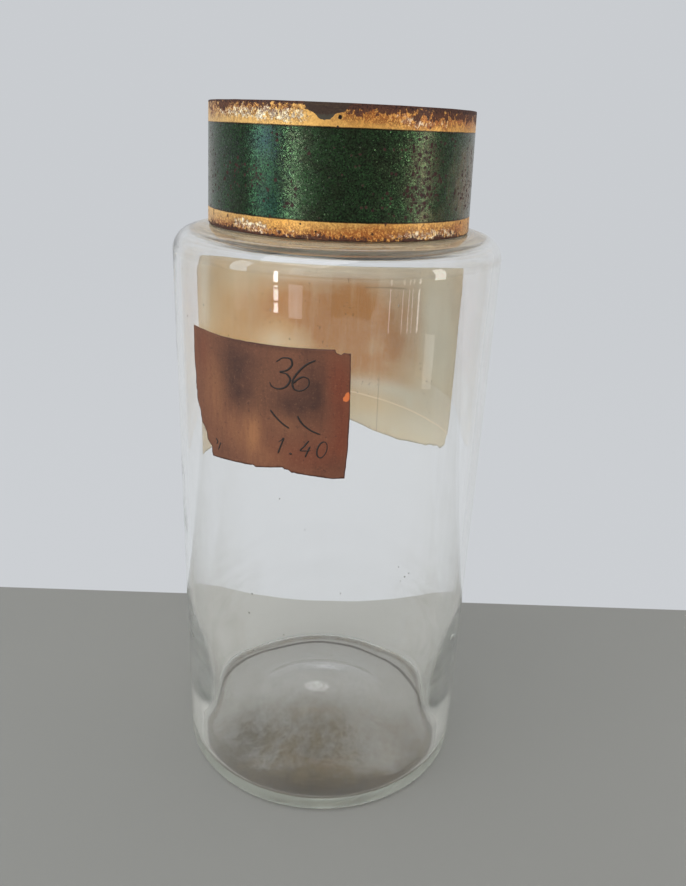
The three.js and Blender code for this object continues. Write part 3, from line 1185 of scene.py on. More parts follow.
# a flake of lacquer is gone at the front of the top edge: its lower outline
CHIP = (
    (-14.8, 300.0), (-14.4, 299.4), (-13.6, 297.9), (-12.5, 297.1), (-11.4, 296.8),
    (-10.3, 296.4), (-9.6, 295.6), (-8.7, 294.6), (-6.9, 294.3), (-4.9, 294.5),
    (-3.7, 295.1), (-2.9, 296.1), (-1.8, 296.7), (-0.2, 297.0), (0.9, 297.6),
    (2.1, 298.7), (3.0, 299.8),
)
chip_d = np.where(
    (band_deg > -15.2) & (band_deg < 3.2),
    band_z - np.interp(band_deg, [c[0] for c in CHIP], [c[1] for c in CHIP]),
    -3.0,
)
float_attribute(lid_band, "chip", chip_d)

b = Mat("lid_band_tin")
zmm, grain, blotch, wide, pick, green, gold, rust, facets = tin_colours(b)
rad2 = b.math("SQRT", b.add(b.mul(b.x, b.x), b.mul(b.y, b.y)))
outer = b.step(
    -0.30,
    -0.16,
    b.sub(
        b.mul(rad2, 1000.0),
        b.add(LID_R_BOTTOM + LID_BOTTOM * 1.1 / 45.3, b.mul(zmm, -1.1 / 45.3)),
    ),
)
jitter = b.mul(b.sub(b.noise(3.0, 4.0, 0.6, seed=6), 0.5), 0.35)
zj = b.add(zmm, jitter)
pale, warm, grime = b.attr("pale"), b.attr("warm"), b.attr("grime")
flecks = b.noise(1.25, 3.0, 0.6, seed=21)
sheet = b.noise(1.7, 5.0, 0.66, seed=24)
# bleached, flaking gilding, with a painted highlight in cream where pale is high
cream_f = b.step(0.0, 0.09, b.sub(sheet, b.sub(0.80, b.mul(pale, 0.40))))
cream = b.mix(b.step(0.36, 0.58, flecks), rgb(228, 196, 132), rgb(252, 242, 212))
gold = b.mix(b.mul(b.step(-18.0, -62.0, b.mul(b.math("ARCTAN2", b.x, b.mul(b.y, -1.0)), 180 / math.pi)), 0.30), gold, rgb(226, 204, 158))
gold = b.mix(b.mul(cream_f, 0.88), gold, cream)
crawl = b.noise(1.0, 4.0, 0.72, vector=b.scaled(1 / 1.5, 1 / 1.5, 1 / 2.0, (4, 2, 7)))
worm = b.step(0.085, 0.030, b.math("ABSOLUTE", b.sub(crawl, 0.47)))
worm = b.mul(worm, b.math("MINIMUM", b.add(b.mul(pale, 0.75), b.add(b.mul(warm, 0.7), b.mul(grime, 0.5))), 1.0))
gold = b.mix(b.mul(worm, 0.9), gold, rgb(96, 52, 36))
freckle = b.step(0.55, 0.63, b.noise(0.75, 3.0, 0.6, seed=23))
freckle = b.mul(freckle, b.math("MINIMUM", b.add(b.mul(warm, 0.9), 0.14), 1.0))
gold = b.mix(freckle, gold, rgb(140, 78, 42))
gold = b.mix(b.mul(warm, 0.40), gold, rgb(196, 112, 46))
smear = b.noise(1.0, 5.0, 0.68, vector=b.scaled(1 / 1.5, 1 / 1.5, 1 / 2.2, (9, 1, 3)))
crust = b.step(0.0, 0.05, b.sub(smear, b.sub(0.78, b.mul(grime, 0.40))))
gold = b.mix(b.mul(crust, 0.95), gold, b.mix(grain, rgb(46, 26, 24), rgb(98, 58, 42)))
# painted reflection of cool light: a blue-green tint on the green lacquer
green = b.mix(b.mul(b.attr("painted_cool_reflection"), 0.5), green, b.mix(b.step(276.0, 284.0, zmm), rgb(22, 62, 52), rgb(44, 60, 70)))
streaks = b.noise(1.0, 3.0, 0.6, vector=b.scaled(1 / 1.4, 1 / 1.4, 1 / 11, (2, 5, 1)))
green = b.mix(b.mul(b.attr("dull"), b.step(0.30, 0.62, streaks, 0.35, 0.95)), green, rgb(112, 94, 68))
is_gold = b.most(
    b.step(BAND_BOTTOM_Z + 0.10, BAND_BOTTOM_Z - 0.10, zj),
    b.step(BAND_TOP_Z - 0.10, BAND_TOP_Z + 0.10, zj),
)
line = b.most(
    b.step(0.42, 0.16, b.math("ABSOLUTE", b.sub(zj, BAND_BOTTOM_Z + 0.1))),
    b.step(0.42, 0.16, b.math("ABSOLUTE", b.sub(zj, BAND_TOP_Z - 0.1))),
)
paint = b.mix(is_gold, green, gold)
paint = b.mix(b.mul(line, 0.8), paint, rgb(40, 34, 22))
# rust creeps in from the two edges and sits in patches of pinholes
from_top = b.sub(LID_TOP, zmm)
from_bottom = b.sub(zmm, LID_BOTTOM)
ragged = b.noise(1.5, 4.0, 0.7, seed=12)
top_line = b.add(b.attr("top_rust"), b.mul(b.sub(ragged, 0.5), 3.2))
bottom_line = b.add(b.attr("bottom_rust"), b.mul(b.sub(ragged, 0.5), 3.4))
edge_rust = b.most(
    b.step(0.20, -0.20, b.sub(from_top, b.most(top_line, 0.30))),
    b.step(0.20, -0.20, b.sub(from_bottom, b.most(bottom_line, 0.22))),
)
# single spots, thick where the metal is bad
near_edge = b.most(
    b.mul(b.step(6.0, 0.5, from_top), 0.42), b.mul(b.step(5.0, 0.3, from_bottom), 0.50)
)
pin = b.cells(1.45, seed=9)
pinpick = b.new("ShaderNodeSeparateColor")
b.link(pin.outputs["Color"], pinpick.inputs[0])
pin_d = b.add(pin.outputs["Distance"], b.mul(b.sub(flecks, 0.5), 0.8))
pin_size = b.mixf(pinpick.outputs[1], 0.14, 0.50)
amount = b.most(b.attr("rusty"), near_edge)
pins = b.mul(
    b.step(0.10, -0.06, b.sub(pin_d, pin_size)),
    b.step(0.0, 0.04, b.sub(amount, pinpick.outputs[0])),
)
blush = b.mul(b.step(0.35, 1.0, b.attr("rusty")), b.step(0.40, 0.62, ragged))
crust = b.mul(crust, is_gold)
worn = b.math(
    "MINIMUM", b.add(edge_rust, b.add(b.mul(pins, 0.90), b.mul(blush, 0.30))), 1.0
)
maroon = b.mix(is_gold, b.mix(grain, rgb(36, 17, 17), rgb(72, 38, 34)), rust)
skin = b.mix(worn, paint, maroon)
# the flake that is gone, down to dark metal, and two black spots beside it
chip = b.step(
    -0.10, 0.14, b.add(b.attr("chip"), b.mul(b.sub(ragged, 0.5), 1.1))
)
lobe = b.step(296.6, 295.6, b.add(zmm, b.mul(b.sub(flecks, 0.5), 2.0)))
bare = b.mix(lobe, b.mix(grain, rgb(46, 33, 27), rgb(74, 56, 44)), rgb(68, 62, 52))
scratch = b.noise(1.0, 2.0, 0.5, vector=b.scaled(1 / 5, 1 / 5, 1 / 0.22))
dots = b.mul(zmm, 0.0)
bare = b.mix(b.mul(b.step(0.64, 0.72, scratch), 0.4), bare, rgb(120, 98, 66))
for az, z, size in (
    (-0.9, 295.5, 0.58), (-1.6, 292.4, 0.42), (18.2, 292.2, 0.2), (-27.4, 262.0, 0.3),
    (-14.6, 260.2, 0.3), (-8.6, 257.9, 0.36), (-28.5, 268.0, 0.34), (-20.2, 266.8, 0.62),
    (28.3, 286.7, 0.44), (34.3, 285.4, 0.48), (39.0, 287.9, 0.36), (38.5, 281.6, 0.42),
    (29.7, 280.8, 0.38), (28.5, 277.7, 0.42), (35.7, 276.6, 0.44), (36.5, 273.4, 0.50),
    (30.4, 273.1, 0.50), (34.1, 270.9, 0.40), (28.7, 270.3, 0.36), (30.7, 268.4, 0.46),
    (32.7, 265.9, 0.36), (26.4, 263.1, 0.30), (19.1, 264.7, 0.30), (12.6, 265.7, 0.42),
    (12.5, 271.2, 0.36), (-43.3, 277.6, 0.42), (-38.5, 276.4, 0.34), (-32.1, 274.0, 0.38),
    (-29.1, 271.4, 0.40), (-36.2, 271.6, 0.36), (-51.0, 276.3, 0.36), (-25.0, 289.3, 0.50),
    (-23.0, 285.0, 0.30),
):
    far_off = b.new("ShaderNodeVectorMath", operation="DISTANCE")
    b.link(b.obj, far_off.inputs[0])
    far_off.inputs[1].default_value = tuple(
        c * MM for c in around(math.radians(az), lid_r(z), z)
    )
    d_mm = b.add(b.mul(far_off.outputs["Value"], 1000.0), b.mul(b.sub(sheet, 0.5), 1.3))
    dots = b.most(dots, b.step(0.16, -0.10, b.sub(d_mm, size)))
black = b.mix(is_gold, b.mix(grain, rgb(30, 15, 15), rgb(58, 32, 28)), rgb(22, 16, 18))
skin = b.mix(dots, skin, black)
worn = b.most(b.most(worn, dots), b.mul(crust, 0.9))
skin = b.mix(chip, skin, bare)
worn = b.most(worn, chip)
inner = b.mix(b.step(0.45, 0.7, blotch), rgb(120, 116, 108), rgb(92, 80, 66))
inner = b.mix(b.mul(b.step(0.55, 0.72, grain), 0.7), inner, rust)
gilt_metal = b.mixf(b.math("MINIMUM", b.add(cream_f, freckle), 1.0), 0.45, 0.10)
b.set(
    Base_Color=b.mix(outer, inner, skin),
    Metallic=b.mul(
        b.sub(1.0, worn),
        b.mixf(
            b.mul(is_gold, outer), b.mixf(b.attr("dull"), 0.88, 0.45), gilt_metal
        ),
    ),
    Roughness=b.mixf(
        worn, b.mixf(is_gold, b.mixf(pick.outputs[2], 0.20, 0.32), 0.42), 0.8
    ),
    Specular_IOR_Level=0.2,
    Coat_Weight=0.10,
    Coat_Roughness=0.28,
)
relief = b.sub(b.mul(cream_f, -0.4), b.add(worn, b.add(b.mul(chip, 0.8), b.mul(worm, 0.5))))
b.set(Normal=b.bump(relief, 0.5, 0.12, b.bump(grain, 0.15, 0.06, facets)))
lid_band.data.materials.append(b.m)

d = Mat("lid_top_tin")
zmm, grain, blotch, wide, pick, green, gold, rust, facets = tin_colours(d)
rad = d.mul(d.math("SQRT", d.add(d.mul(d.x, d.x), d.mul(d.y, d.y))), 1000.0)
up = d.step(DISC_TOP - TIN + 0.1, DISC_TOP - TIN + 0.3, zmm)
ring = d.step(42.9, 43.2, d.add(rad, d.mul(d.sub(blotch, 0.5), 0.4)))
paint = d.mix(ring, green, gold)
line = d.step(0.5, 0.2, d.math("ABSOLUTE", d.sub(rad, 42.8)))
paint = d.mix(d.mul(line, 0.8), paint, rgb(40, 34, 22))
ragged = d.add(d.mul(d.noise(3.0, 5.0, 0.7, seed=32), 7.0), d.mul(wide, 3.0))
edge = d.step(0.5, -0.5, d.sub(d.sub(DISC_R, rad), d.sub(ragged, 3.6)))
flecks = d.noise(1.25, 3.0, 0.6, seed=21)
pale = d.step(0.48, 0.66, d.noise(9.0, 3.0, 0.6, seed=36))
cream_f = d.mul(
    d.mul(d.step(0.0, 0.12, d.add(d.sub(flecks, 0.66), d.mul(pale, 0.26))), pale), ring
)
paint = d.mix(d.mul(cream_f, 0.9), paint, rgb(238, 216, 170))
crawl = d.noise(1.4, 2.0, 0.6, seed=37)
worm = d.step(0.050, 0.018, d.math("ABSOLUTE", d.sub(crawl, 0.5)))
worm = d.mul(d.mul(worm, ring), d.math("MINIMUM", d.add(pale, 0.25), 1.0))
paint = d.mix(worm, paint, rgb(118, 66, 36))
pin = d.cells(1.5, seed=29)
pinpick = d.new("ShaderNodeSeparateColor")
d.link(pin.outputs["Color"], pinpick.inputs[0])
amount = d.add(
    d.mul(d.step(0.46, 0.70, d.noise(16.0, 3.0, 0.55, seed=35)), 0.6),
    d.add(d.mul(d.step(34.0, 51.0, rad), 0.35), 0.06),
)
pin_d = d.add(pin.outputs["Distance"], d.mul(d.sub(flecks, 0.5), 0.8))
pins = d.mul(
    d.step(0.10, -0.06, d.sub(pin_d, d.mixf(pinpick.outputs[1], 0.12, 0.42))),
    d.step(0.0, 0.04, d.sub(amount, pinpick.outputs[0])),
)
worn = d.math("MINIMUM", d.add(edge, d.mul(pins, 0.85)), 1.0)
skin = d.mix(worn, paint, rust)
inner = d.mix(d.step(0.45, 0.7, blotch), rgb(120, 116, 108), rgb(92, 80, 66))
d.set(
    Base_Color=d.mix(up, inner, skin),
    Metallic=d.mul(
        d.sub(1.0, worn), d.mixf(ring, 0.85, d.mixf(cream_f, 0.60, 0.15))
    ),
    Roughness=d.mixf(
        worn, d.mixf(ring, d.mixf(pick.outputs[2], 0.22, 0.38), 0.42), 0.8
    ),
    Specular_IOR_Level=0.2,
    Coat_Weight=0.10,
    Coat_Roughness=0.28,
)
relief = d.sub(d.mul(worm, -0.5), worn)
d.set(Normal=d.bump(relief, 0.5, 0.12, d.bump(grain, 0.15, 0.06, facets)))
lid_disc.data.materials.append(d.m)

s = Mat("solder")
grain = s.noise(0.9, 4.0, 0.6, seed=1)
patches = s.noise(5.0, 3.0, 0.5, seed=2)
s.set(
    Base_Color=s.mix(
        s.step(0.4, 0.7, patches), rgb(150, 148, 142), rgb(96, 88, 76)
    ),
    Metallic=0.85,
    Roughness=s.mixf(grain, 0.35, 0.6),
    Normal=s.bump(grain, 0.5, 0.15),
)
rim_solder.data.materials.append(s.m)
seam_solder.data.materials.append(s.m)

# ------------------------------------------------------------------ paper labels


def rough_outline(points, step, amount):
    """Closed outline through points (s, z, torn), resampled, with cut edges nearly straight and torn ones ragged."""
    out = []
    n = len(points)
    for i in range(n):
        (x0, y0, torn), (x1, y1, _) = points[i], points[(i + 1) % n]
        length = math.dist((x0, y0), (x1, y1))
        k = max(1, int(round(length / step)))
        nx, ny = (y1 - y0) / length, -(x1 - x0) / length
        for j in range(k):
            t = j / k
            x, y = x0 + (x1 - x0) * t, y0 + (y1 - y0) * t
            a = amount[torn] * min(1.0, 3.0 * min(t, 1 - t) + 0.25)
            d = a * fractal(x / 3.1, y / 3.1, 0.0, 5, 71.0)
            out.append((x + nx * d, y + ny * d))
    return out


def distance_to(outline, x, y):
    p = np.array(outline)
    q = np.roll(p, -1, axis=0)
    d = q - p
    w = np.array((x, y)) - p
    t = np.clip((w * d).sum(1) / np.maximum((d * d).sum(1), 1e-12), 0, 1)
    return float(np.sqrt(((w - d * t[:, None]) ** 2).sum(1)).min())


def paper(name, outline, spacing, height, thickness, body, replaces):
    """A sheet on the jar's wall, from an outline in unrolled (s, z) millimetres. height(s, z, edge) is how far its glued side stands off the glass."""
    xs = [p[0] for p in outline]
    ys = [p[1] for p in outline]
    pts = [Vector(p) for p in outline]
    n = len(pts)
    lo_x, hi_x, lo_y, hi_y = min(xs), max(xs), min(ys), max(ys)
    gen = np.random.default_rng(11)
    yy = lo_y
    arr = np.array(outline)
    grid = []
    while yy < hi_y:
        xx = lo_x
        while xx < hi_x:
            grid.append((xx, yy))
            xx += spacing
        yy += spacing
    grid = np.array(grid) + gen.uniform(-0.15, 0.15, (len(grid), 2)) * spacing
    keep = []
    for gx, gy in grid:
        if ((arr[:, 0] - gx) ** 2 + (arr[:, 1] - gy) ** 2).min() > (0.55 * spacing) ** 2:
            keep.append(Vector((float(gx), float(gy))))
    allp = pts + keep
    res = mgeo.delaunay_2d_cdt(
        allp, [], [list(range(n))], 1, 1e-6
    )
    v2, f2 = res[0], res[2]
    edge_of = {}
    for f in f2:
        for i in range(len(f)):
            a, c = f[i], f[(i + 1) % len(f)]
            edge_of[(a, c)] = edge_of.get((a, c), 0) + 1
    rim = [e for e in edge_of if (e[1], e[0]) not in edge_of]
    verts, edge_d = [], []
    for layer in (0, 1):
        for v in v2:
            x, y = float(v.x), float(v.y)
            e = distance_to(outline, x, y) if layer == 0 else edge_d[len(verts) - len(v2)]
            if layer == 0:
                edge_d.append(e)
            phi = x / BODY_R
            r = outer_r(phi, y) + height(x, y, e) + thickness * layer
            verts.append(around(phi, r, y))
    m = len(v2)
    faces = [tuple(reversed(f)) for f in f2]
    n_back = len(faces)
    faces += [tuple(k + m for k in f) for f in f2]
    n_front = len(faces)
    faces += [(a, c, c + m, a + m) for a, c in rim]
    o = mesh_object(name, verts, faces, body, replaces)
    # sides and faces: 0 glued side, 1 outer side, 2 cut edge
    sides = [0] * n_back + [1] * (n_front - n_back) + [2] * (len(faces) - n_front)
    o.data.polygons.foreach_set("material_index", sides)
    float_attribute(o, "edge", edge_d + edge_d)
    flat = np.array([(float(v.x), float(v.y)) for v in v2] * 2)
    return o, flat


def blobs(flat, items):
    """Sum of soft spots (s, z, radius s, radius z, amount) with an uneven outline."""
    out = np.zeros(len(flat))
    for k, (x, y, rx, ry, a) in enumerate(items):
        wob = np.array(
            [1 + 0.45 * fractal(px / 14, py / 14, 0.0, 3, 81.0 + k) for px, py in flat]
        )
        d2 = ((flat[:, 0] - x) / rx) ** 2 + ((flat[:, 1] - y) / ry) ** 2
        out += a * np.exp(-d2 * wob)
    return np.clip(out, 0, 1)


def front_s(phi_deg):
    return math.radians(phi_deg) * BODY_R


front_outline = rough_outline(
    [
        (front_s(-52.1), 220.1, 0),
        (front_s(-37.3), 219.2, 0),
        (front_s(-22.9), 219.25, 0),
        (front_s(-10.1), 219.35, 0),
        (front_s(0.2), 219.6, 1),
        (front_s(0.9), 218.2, 1),
        (front_s(2.2), 217.7, 1),
        (front_s(3.0), 218.5, 0),
        (front_s(5.1), 218.3, 0),
        (front_s(5.35), 208.5, 0),
        (front_s(5.62), 196.0, 0),
        (front_s(5.5), 181.2, 0),
        (front_s(4.85), 169.5, 0),
        (front_s(1.2), 169.2, 0),
        (front_s(-9.3), 170.3, 1),
        (front_s(-14.6), 171.4, 1),
        (front_s(-15.8), 172.0, 0),
        (front_s(-24.7), 170.2, 1),
        (front_s(-26.2), 170.6, 0),
        (front_s(-34.8), 169.9, 0),
        (front_s(-42.9), 169.1, 1),
        (front_s(-43.4), 173.2, 1),
        (front_s(-45.6), 175.4, 1),
        (front_s(-46.1), 178.3, 1),
        (front_s(-48.6), 181.4, 1),
        (front_s(-49.4), 186.0, 1),
        (front_s(-51.3), 191.5, 1),
        (front_s(-51.6), 200.0, 0),
        (front_s(-52.3), 206.0, 0),
    ],
    0.45,
    (0.10, 0.75),
)


def front_height(x, y, e):
    lift = 0.05 * max(0.0, 1 - e / 1.5)
    wrinkle = 0.03 * perlin(x / 6, y / 9, 0.0, 91.0) + 0.03
    crease = 0.05 * math.exp(-(((x - y * 0.35 + 100) / 0.9) ** 2))
    return 0.03 + lift + max(0.0, wrinkle) + crease


front_label, flat = paper(
    "front_label_paper",
    front_outline,
    0.75,
    front_height,
    0.13,
    "jar",
    ("front_label",),
)
dark = blobs(
    flat,
    [
        (-39.0, 213.0, 8.5, 7.0, 0.70),
        (-38.5, 204.0, 7.5, 9.0, 0.72),
        (-36.0, 196.0, 7.5, 6.5, 0.55),
        (-27.0, 208.0, 8.0, 10.0, 0.30),
        (-10.0, 198.5, 8.5, 7.0, 0.85),
        (-20.0, 198.0, 8.0, 5.0, 0.45),
        (-7.0, 211.0, 5.0, 8.0, 0.55),
        (-5.0, 202.0, 3.0, 9.0, 0.35),
        (-26.0, 219.0, 20.0, 1.2, 0.55),
        (2.0, 174.0, 6.0, 4.0, 0.30),
        (-45.0, 173.0, 6.0, 4.0, 0.25),
    ],
)
red = blobs(
    flat,
    [
        (1.5, 208.0, 5.0, 12.0, 0.75),
        (4.5, 192.0, 3.5, 14.0, 0.75),
        (0.0, 180.0, 9.0, 8.0, 0.60),
        (-14.0, 177.0, 12.0, 7.0, 0.45),
        (-56.0, 212.0, 4.0, 8.0, 0.35),
    ],
)
light = blobs(
    flat,
    [
        (-30.0, 184.0, 3.2, 9.0, 0.85),
        (-36.0, 186.0, 8.0, 9.0, 0.50),
        (-49.0, 198.0, 6.0, 13.0, 0.50),
        (-24.0, 175.0, 7.0, 5.0, 0.35),
        (-17.0, 190.0, 6.0, 4.0, 0.25),
        (-26.0, 203.0, 5.0, 8.0, 0.28),
    ],
)
pale = blobs(
    flat,
    [(5.6, 202.2, 1.1, 1.9, 1.0), (4.6, 201.0, 0.8, 0.8, 0.8), (6.4, 197.0, 0.45, 1.3, 0.8), (6.4, 190.0, 0.35, 1.0, 0.7)],
)
float_attribute(front_label, "dark", dark)
float_attribute(front_label, "red", red)
float_attribute(front_label, "light", light)
float_attribute(front_label, "pale", pale)

rear_outline = rough_outline(
    [
        (front_s(115.9), 234.1, 0),
        (front_s(150.0), 234.25, 0),
        (front_s(180.0), 234.3, 0),
        (front_s(210.0), 234.2, 0),
        (front_s(252.0), 234.2, 1),
        (front_s(253.4), 233.4, 1),
        (front_s(255.1), 231.6, 1),
        (front_s(255.2), 226.0, 0),
        (front_s(255.2), 190.0, 0),
        (front_s(255.2), 140.5, 0),
        (front_s(240.0), 140.6, 0),
        (front_s(215.0), 142.5, 0),
        (front_s(185.0), 145.0, 0),
        (front_s(171.4), 143.5, 0),
        (front_s(159.3), 138.9, 0),
        (front_s(146.6), 136.9, 0),
        (front_s(132.9), 138.8, 1),
        (front_s(124.0), 141.4, 1),
        (front_s(118.6), 142.6, 1),
        (front_s(116.8), 145.0, 1),
        (front_s(114.6), 152.0, 0),
        (front_s(114.1), 162.0, 0),
        (front_s(114.5), 200.0, 1),
        (front_s(114.8), 226.0, 1),
    ],
    0.8,
    (0.14, 0.9),
)


def rear_height(x, y, e):
    lift = 0.04 * max(0.0, 1 - e / 2.0)
    wrinkle = 0.04 * perlin(x / 11, y / 15, 0.0, 95.0) + 0.04
    return 0.03 + lift + max(0.0, wrinkle)


rear_label, flat = paper(
    "rear_label_paper",
    rear_outline,
    1.6,
    rear_height,
    0.14,
    "jar",
    ("rear_label",),
)
orange = blobs(
    flat,
    [
        (front_s(216), 205.0, 20.0, 18.0, 0.50),
        (front_s(230), 200.0, 12.0, 20.0, 0.30),
        (front_s(146), 204.0, 11.0, 18.0, 0.35),
        (front_s(150), 188.0, 13.0, 13.0, 0.38),
        (front_s(183), 204.0, 20.0, 17.0, 0.95),
        (front_s(164), 204.0, 17.0, 16.0, 0.85),
        (front_s(200), 208.0, 14.0, 14.0, 0.65),
        (front_s(163), 176.0, 13.0, 9.0, 0.70),
        (front_s(150), 168.0, 16.0, 8.0, 0.40),
        (front_s(174), 168.0, 14.0, 9.0, 0.45),
        (front_s(152), 186.0, 9.0, 10.0, 0.40),
        (front_s(180), 185.0, 18.0, 14.0, 0.60),
    ],
)
gold_stain = blobs(
    flat,
    [
        (front_s(222), 206.0, 34.0, 26.0, 1.0),
        (front_s(216), 182.0, 30.0, 20.0, 0.8),
        (front_s(158), 153.0, 14.0, 5.0, 0.45),
        (front_s(146), 178.0, 12.0, 14.0, 0.45),
        (front_s(184), 160.0, 34.0, 13.0, 0.6),
        (front_s(150), 166.0, 16.0, 9.0, 0.5),
    ],
)
grey = blobs(
    flat,
    [
        (front_s(125), 200.0, 13.0, 44.0, 1.0),
        (front_s(134), 216.0, 7.0, 16.0, 0.45),
        (front_s(136), 148.0, 22.0, 10.0, 0.7),
        (front_s(148), 164.0, 16.0, 5.0, 0.85),
        (front_s(168), 165.0, 12.0, 3.5, 0.6),
        (front_s(165), 144.0, 14.0, 5.0, 0.6),
        (front_s(186), 224.0, 46.0, 5.5, 0.75),
        (front_s(185), 233.0, 90.0, 2.6, 0.6),
        (front_s(249), 222.0, 5.0, 30.0, 0.85),
        (front_s(208), 188.0, 7.0, 5.0, 0.40),
        (front_s(149), 141.0, 3.0, 2.0, 0.6),
        (front_s(142), 159.0, 2.5, 2.5, 0.5),
    ],
)
float_attribute(rear_label, "orange", orange)
float_attribute(rear_label, "gold", gold_stain)
float_attribute(rear_label, "grey", grey)


def fibres(m, seed):
    a = m.noise(1.0, 4.0, 0.65, vector=m.scaled(1 / 0.5, 1 / 0.5, 1 / 3.0, (seed, 0, 0)))
    c = m.noise(1.0, 4.0, 0.65, vector=m.scaled(1 / 3.0, 1 / 3.0, 1 / 0.5, (0, seed, 0)))
    return m.math("MULTIPLY", m.add(a, c), 0.5)


def brown_paper(name, light, mid, deep, edge_colour):
    m = Mat(name)
    fib = fibres(m, 3.0)
    cloud = m.noise(11.0, 5.0, 0.62, seed=5)
    fine = m.noise(0.8, 3.0, 0.7, seed=6)
    drag = m.noise(1.0, 3.0, 0.6, vector=m.scaled(1 / 2.2, 1 / 2.2, 1 / 16, (3, 1, 6)))
    spots = m.step(0.62, 0.70, m.noise(1.5, 3.0, 0.6, seed=7))
    lumps = m.mul(m.sub(m.noise(4.5, 4.0, 0.6, seed=8), 0.5), 0.9)
    col = m.mix(cloud, mid, light)
    col = m.mix(m.mul(m.step(0.35, 0.65, fib), 0.45), col, mid)
    col = m.mix(m.mul(m.attr("red"), 0.70), col, rgb(112, 50, 30))
    glow = m.math("MAXIMUM", m.mul(m.attr("light"), m.add(m.step(0.3, 0.7, drag), 0.35)), 0.0)
    col = m.mix(m.math("MINIMUM", m.mul(glow, 0.75), 1.0), col, rgb(158, 106, 68))
    gloom = m.math("MULTIPLY", m.attr("dark"), m.add(0.85, lumps), clamp=True)
    col = m.mix(m.mul(gloom, 0.85), col, deep)
    col = m.mix(m.mul(m.step(0.52, 0.68, drag), 0.18), col, deep)
    col = m.mix(m.mul(spots, 0.40), col, deep)
    col = m.mix(m.mul(m.step(0.56, 0.70, fine), 0.22), col, rgb(160, 112, 82))
    col = m.mix(m.mul(m.step(0.44, 0.30, fine), 0.28), col, deep)
    flake = m.step(0.42, 0.56, m.add(m.attr("pale"), m.mul(m.sub(fine, 0.5), 0.4)))
    col = m.mix(flake, col, rgb(206, 110, 58))
    # dirt gathers along the edge
    rim = m.step(1.0, 0.15, m.add(m.attr("edge"), m.mul(cloud, 0.5)))
    col = m.mix(m.mul(rim, 0.75), col, edge_colour)
    m.set(
        Base_Color=col,
        Roughness=m.mixf(fib, 0.55, 0.78),
        Specular_IOR_Level=0.35,
        Normal=m.bump(fib, 0.30, 0.10, m.bump(drag, 0.25, 0.25)),
    )
    return m.m


front_label.data.materials.append(
    brown_paper(
        "front_label_glued", rgb(150, 112, 80), rgb(128, 90, 62), rgb(80, 54, 38), rgb(90, 62, 44)
    )
)
front_label.data.materials.append(
    brown_paper(
        "front_label_face", rgb(124, 80, 56), rgb(104, 64, 46), rgb(56, 36, 31), rgb(58, 32, 26)
    )
)
core = Mat("paper_core")
fib = fibres(core, 9.0)
core.set(
    Base_Color=core.mix(fib, rgb(182, 142, 100), rgb(214, 184, 144)),
    Roughness=0.9,
    Normal=core.bump(fib, 0.5, 0.1),
)
front_label.data.materials.append(core.m)


def tan_paper(name, base, deep):
    m = Mat(name)
    fib = fibres(m, 5.0)
    cloud = m.noise(16.0, 5.0, 0.6, seed=15)
    drag = m.noise(1.0, 3.0, 0.6, vector=m.scaled(1 / 3.0, 1 / 3.0, 1 / 40, (3, 1, 6)))
    zmm = m.mul(m.z, 1000.0)
    turn = m.mul(m.math("ARCTAN2", m.x, m.mul(m.y, -1.0)), 180 / math.pi)
    turn = m.math("WRAP", turn, 360.0, 0.0)
    col = m.mix(cloud, base, deep)
    col = m.mix(m.mul(m.attr("gold"), 0.90), col, rgb(246, 214, 160))
    blush = m.math("MULTIPLY", m.attr("orange"), m.add(m.mul(cloud, 0.8), 0.6), clamp=True)
    col = m.mix(m.mul(blush, 0.95), col, rgb(207, 137, 60))
    col = m.mix(m.mul(m.attr("grey"), 0.88), col, rgb(242, 234, 212))
    col = m.mix(m.mul(m.step(182.0, 158.0, zmm), 0.30), col, rgb(196, 178, 146))
    col = m.mix(m.mul(m.step(0.45, 0.75, drag), 0.16), col, rgb(236, 220, 190))
    col = m.mix(m.mul(m.step(0.35, 0.7, fib), 0.14), col, rgb(236, 220, 190))
    # two folds and a seam show as thin lines
    fold = m.sub(m.add(zmm, m.mul(cloud, 1.2)), m.add(m.mul(m.sub(turn, 134.0), 0.136), 155.1))
    fold = m.step(0.60, 0.20, m.math("ABSOLUTE", fold))
    seam = m.step(0.35, 0.10, m.math("ABSOLUTE", m.sub(m.add(zmm, m.mul(turn, 0.11)), 233.8)))
    seam = m.mul(seam, m.mul(m.step(168.0, 166.0, turn), m.step(146.0, 149.0, turn)))
    upright = m.step(0.35, 0.10, m.math("ABSOLUTE", m.add(m.sub(turn, 158.5), m.mul(cloud, 0.8))))
    upright = m.mul(upright, m.step(176.0, 164.0, zmm))
    col = m.mix(m.mul(fold, 0.75), col, rgb(250, 228, 196))
    col = m.mix(m.mul(m.most(seam, upright), 0.32), col, rgb(132, 104, 72))
    fox = m.step(0.64, 0.70, m.noise(1.5, 3.0, 0.6, seed=17))
    where = m.step(0.50, 0.62, m.noise(13.0, 2.0, 0.5, seed=19))
    col = m.mix(m.mul(m.mul(fox, where), 0.65), col, rgb(110, 74, 44))
    rim = m.step(1.7, 0.2, m.add(m.attr("edge"), m.mul(cloud, 1.2)))
    col = m.mix(m.mul(rim, 0.60), col, rgb(112, 104, 88))
    m.set(
        Base_Color=col,
        Roughness=m.mixf(fib, 0.68, 0.88),
        Specular_IOR_Level=0.35,
        Normal=m.bump(fib, 0.3, 0.12),
    )
    return m.m


rear_label.data.materials.append(
    tan_paper("rear_label_glued", rgb(236, 216, 182), rgb(220, 196, 158))
)
rear_label.data.materials.append(
    tan_paper("rear_label_face", rgb(214, 196, 160), rgb(190, 164, 124))
)
rear_label.data.materials.append(core.m)

# ------------------------------------------------------------------ pen marks on the small label


